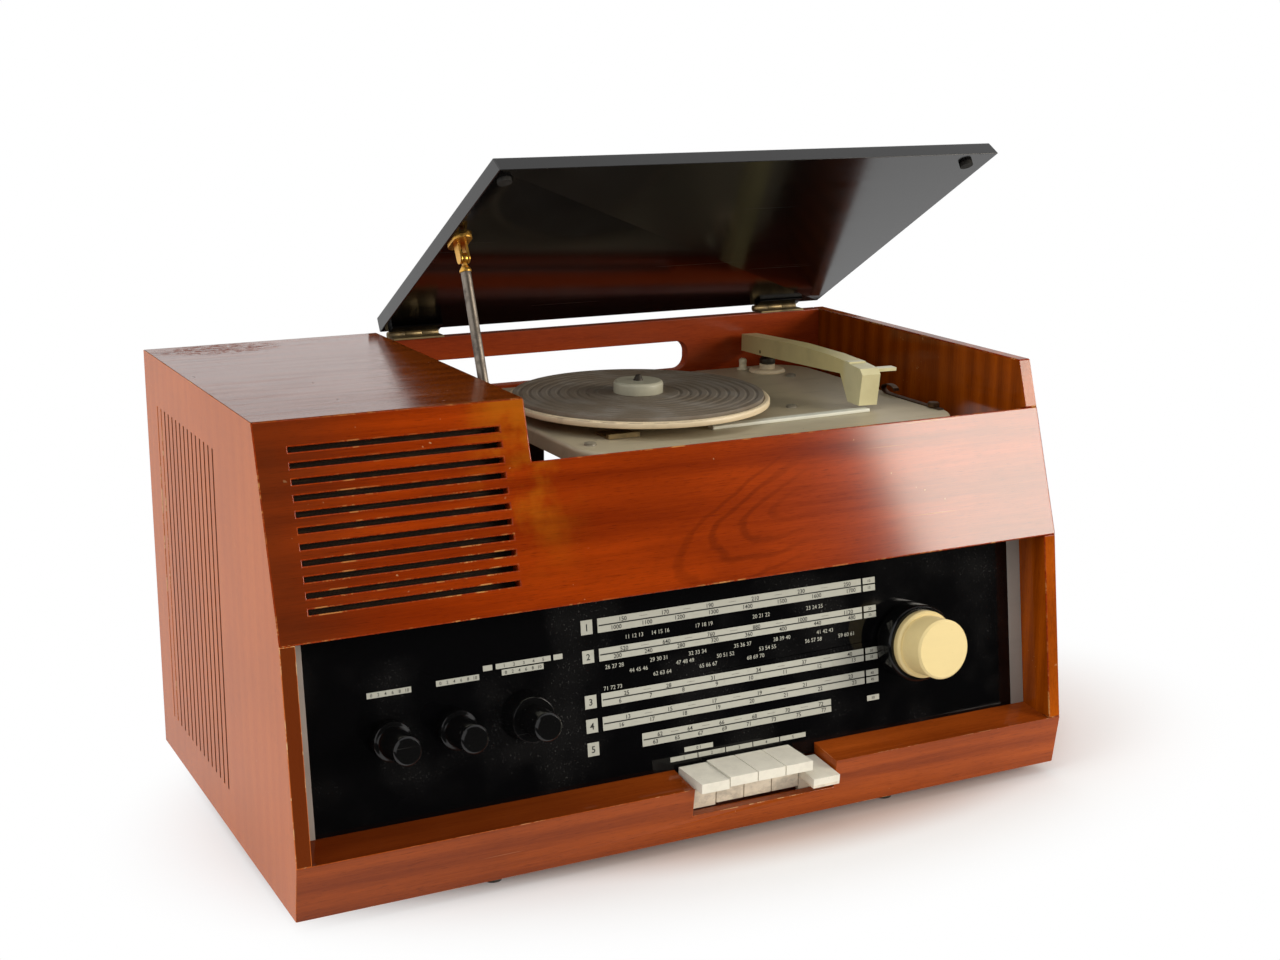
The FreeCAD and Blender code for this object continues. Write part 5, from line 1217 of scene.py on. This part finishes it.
class RADIOGRAM_OT_set_stage(bpy.types.Operator):
    """Sets the floor, the studio light and the camera"""

    bl_idname = "radiogram.set_stage"
    bl_label = "Set the stage"

    # Each lamp: its name, its power's setting, its place, the spot it aims at and its size
    lamps = [
        ("Overhead lamp", "key_power", (-0.5, 0.35, 2.5), (0, 0.05, 0.2), (2.6, 2.0)),
        ("Left lamp", "side_power", (-2.3, -0.7, 1.5), (-0.2, 0, 0.2), (1.4, 1.4)),
        ("Front lamp", "fill_power", (-0.7, -2.6, 2.1), (0, -0.1, 0.25), (1.8, 1.2)),
        ("Soft box", "box_power", (2.275, -2.065, 1.0), (0.2, -0.1, 0.25), (1.24, 1.05)),
    ]
    # The one lamp that is seen in gloss, and its colour
    soft_box, warm = "Soft box", (1, 0.93, 0.82)
    floor_half = 9
    # The shadow on the floor: its middle and the scale of its outline
    shadow_middle, shadow_shape = (0.08, -0.02, 0), (0.61, 1, 0)
    # The dark room in front of the set: its ends, then its outline as places along and heights
    room_left, room_right = -3.4, 6.4
    room = [(-0.25, 0.002), (-3.6, 0.002), (-3.6, 5), (-1.5, 6)]
    # The camera, solved from the photo's straight edges
    eye = (-0.5933, -1.2085, 0.5557)
    eye_right, eye_up = Vector((0.89022, -0.45549, 0.00591)), Vector((0.10405, 0.21595, 0.97085))

    def execute(self, context):
        stage = context.scene.radiogram_stage
        context.scene.view_settings.view_transform = "Standard"
        self.lay_floor(stage.floor, stage.contact)
        self.light_surround(context.scene, stage.sky)
        for name, setting, place, target, size in self.lamps:
            lamp = self.hang_lamp(name, getattr(stage, setting), place, target, size)
            lamp.visible_glossy = name == self.soft_box
            if lamp.visible_glossy:
                lamp.data.color = self.warm
        self.stand_cards()
        self.place_camera(context.scene, stage.lens)
        return {"FINISHED"}

    def lay_floor(self, shade, contact):
        """A floor that keeps its shadow under the case, deepened there by a painted shadow, and is pure
        white to the eye farther off.
        """
        f = Finish("Studio floor")
        away = f.distance(self.shadow_middle, self.shadow_shape)
        # Painted shadow: near the case the floor's colour turns to a warm shade.
        f.coat(base=f.mix(f.step(away, 0.15, 0.2), contact, shade), roughness=0.9, specular=0)
        white = f.add("Emission", {}, {"Color": (1, 1, 1), "Strength": 1})
        bright = 0.06 + f.step(away, 0.18, 0.29) * 0.94
        shaded = Field(f, f.surface.outputs["BSDF"])
        blend = f.add("MixShader", {}, {0: f.seen() * bright, 1: shaded, 2: white})
        f.feed(f.tree.nodes["Material Output"].inputs["Surface"], blend)
        shape = bmesh.new()
        bmesh.ops.create_grid(shape, x_segments=12, y_segments=12, size=self.floor_half)
        build("studio_floor", shape, f.material)

    def light_surround(self, scene, level):
        """A surround that is white to the eye and dimmer as a light."""
        world = bpy.data.worlds.new("Studio surround")
        scene.world = world
        f = Finish(world.name, world)
        dim = f.tree.nodes["Background"]
        f.feed(dim.inputs["Color"], (1, 1, 1))
        f.feed(dim.inputs["Strength"], level)
        white = f.add("Background", {}, {"Color": (1, 1, 1), "Strength": 1})
        blend = f.add("MixShader", {}, {0: f.seen(), 1: Field(f, dim.outputs[0]), 2: white})
        f.feed(f.tree.nodes["World Output"].inputs["Surface"], blend)

    def hang_lamp(self, name, watts, place, target, size):
        lamp = bpy.data.lights.new(name, "AREA")
        lamp.shape = "RECTANGLE"
        lamp.size, lamp.size_y = size
        lamp.energy = watts
        holder = bpy.data.objects.new(name, lamp)
        holder.location = place
        holder.rotation_euler = (Vector(target) - Vector(place)).to_track_quat("-Z", "Y").to_euler()
        bpy.context.scene.collection.objects.link(holder)
        return holder

    def stand_cards(self):
        """The dark room in front of the set and the shade behind its back rail, seen only in gloss."""
        self.stand_card("dark_room", self.room_left, self.room_right, self.room, (0.02, 0.02, 0.02))
        low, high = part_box("back_rail")
        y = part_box("lid_panel")[1].y + 0.012
        start, end = high.z - 0.022, high.z + 0.016
        self.stand_card("rail_shade", low.x, high.x + 0.2, [(y, start), (y, end)], (0.03, 0.012, 0.008))
        self.stand_card("window_shade", low.x, high.x, [(y, low.z), (y, start)], (0.16, 0.14, 0.13))

    def stand_card(self, name, left, right, outline, shade):
        shape = bmesh.new()
        ends = [[shape.verts.new((x, y, z)) for y, z in outline] for x in (left, right)]
        skin(shape, ends, closed=False, flip=True)
        card = build(name, shape, Finish(name).coat(base=shade, roughness=0.9, specular=0))
        card.visible_camera = False
        card.visible_diffuse = False
        card.visible_shadow = False

    def place_camera(self, scene, lens):
        view = bpy.data.cameras.new("Photo view")
        view.lens = lens
        view.sensor_width = 36
        view.clip_start = 0.05
        camera = bpy.data.objects.new("Photo view", view)
        scene.collection.objects.link(camera)
        right, up = self.eye_right, self.eye_up
        turn = Matrix((right, up, right.cross(up))).transposed()
        camera.matrix_world = Matrix.Translation(self.eye) @ turn.to_4x4()
        scene.camera = camera


OPERATORS = [
    RADIOGRAM_OT_veneer_case,
    RADIOGRAM_OT_lacquer_lid,
    RADIOGRAM_OT_dress_player,
    RADIOGRAM_OT_print_dial,
    RADIOGRAM_OT_finish_knobs,
    RADIOGRAM_OT_finish_inside,
    RADIOGRAM_OT_stretch_cloth,
    RADIOGRAM_OT_set_stage,
]


class RADIOGRAM_PT_workshop(bpy.types.Panel):
    bl_idname = "RADIOGRAM_PT_workshop"
    bl_label = "Radiogram"
    bl_space_type = "VIEW_3D"
    bl_region_type = "UI"
    bl_category = "Radiogram"

    def draw(self, context):
        for operator in OPERATORS:
            self.layout.operator(operator.bl_idname)
        for name, group in SETTINGS.items():
            column = self.layout.box().column()
            for prop in group.__annotations__:
                column.prop(getattr(context.scene, name), prop)


def register():
    for name, group in SETTINGS.items():
        bpy.utils.register_class(group)
        setattr(bpy.types.Scene, name, bpy.props.PointerProperty(type=group))
    for operator in OPERATORS:
        bpy.utils.register_class(operator)
    bpy.utils.register_class(RADIOGRAM_PT_workshop)


def unregister():
    bpy.utils.unregister_class(RADIOGRAM_PT_workshop)
    for operator in reversed(OPERATORS):
        bpy.utils.unregister_class(operator)
    for name, group in reversed(SETTINGS.items()):
        delattr(bpy.types.Scene, name)
        bpy.utils.unregister_class(group)


def main():
    register()
    for operator in OPERATORS:
        family, name = operator.bl_idname.split(".")
        getattr(getattr(bpy.ops, family), name)()


if __name__ == "__main__":
    main()
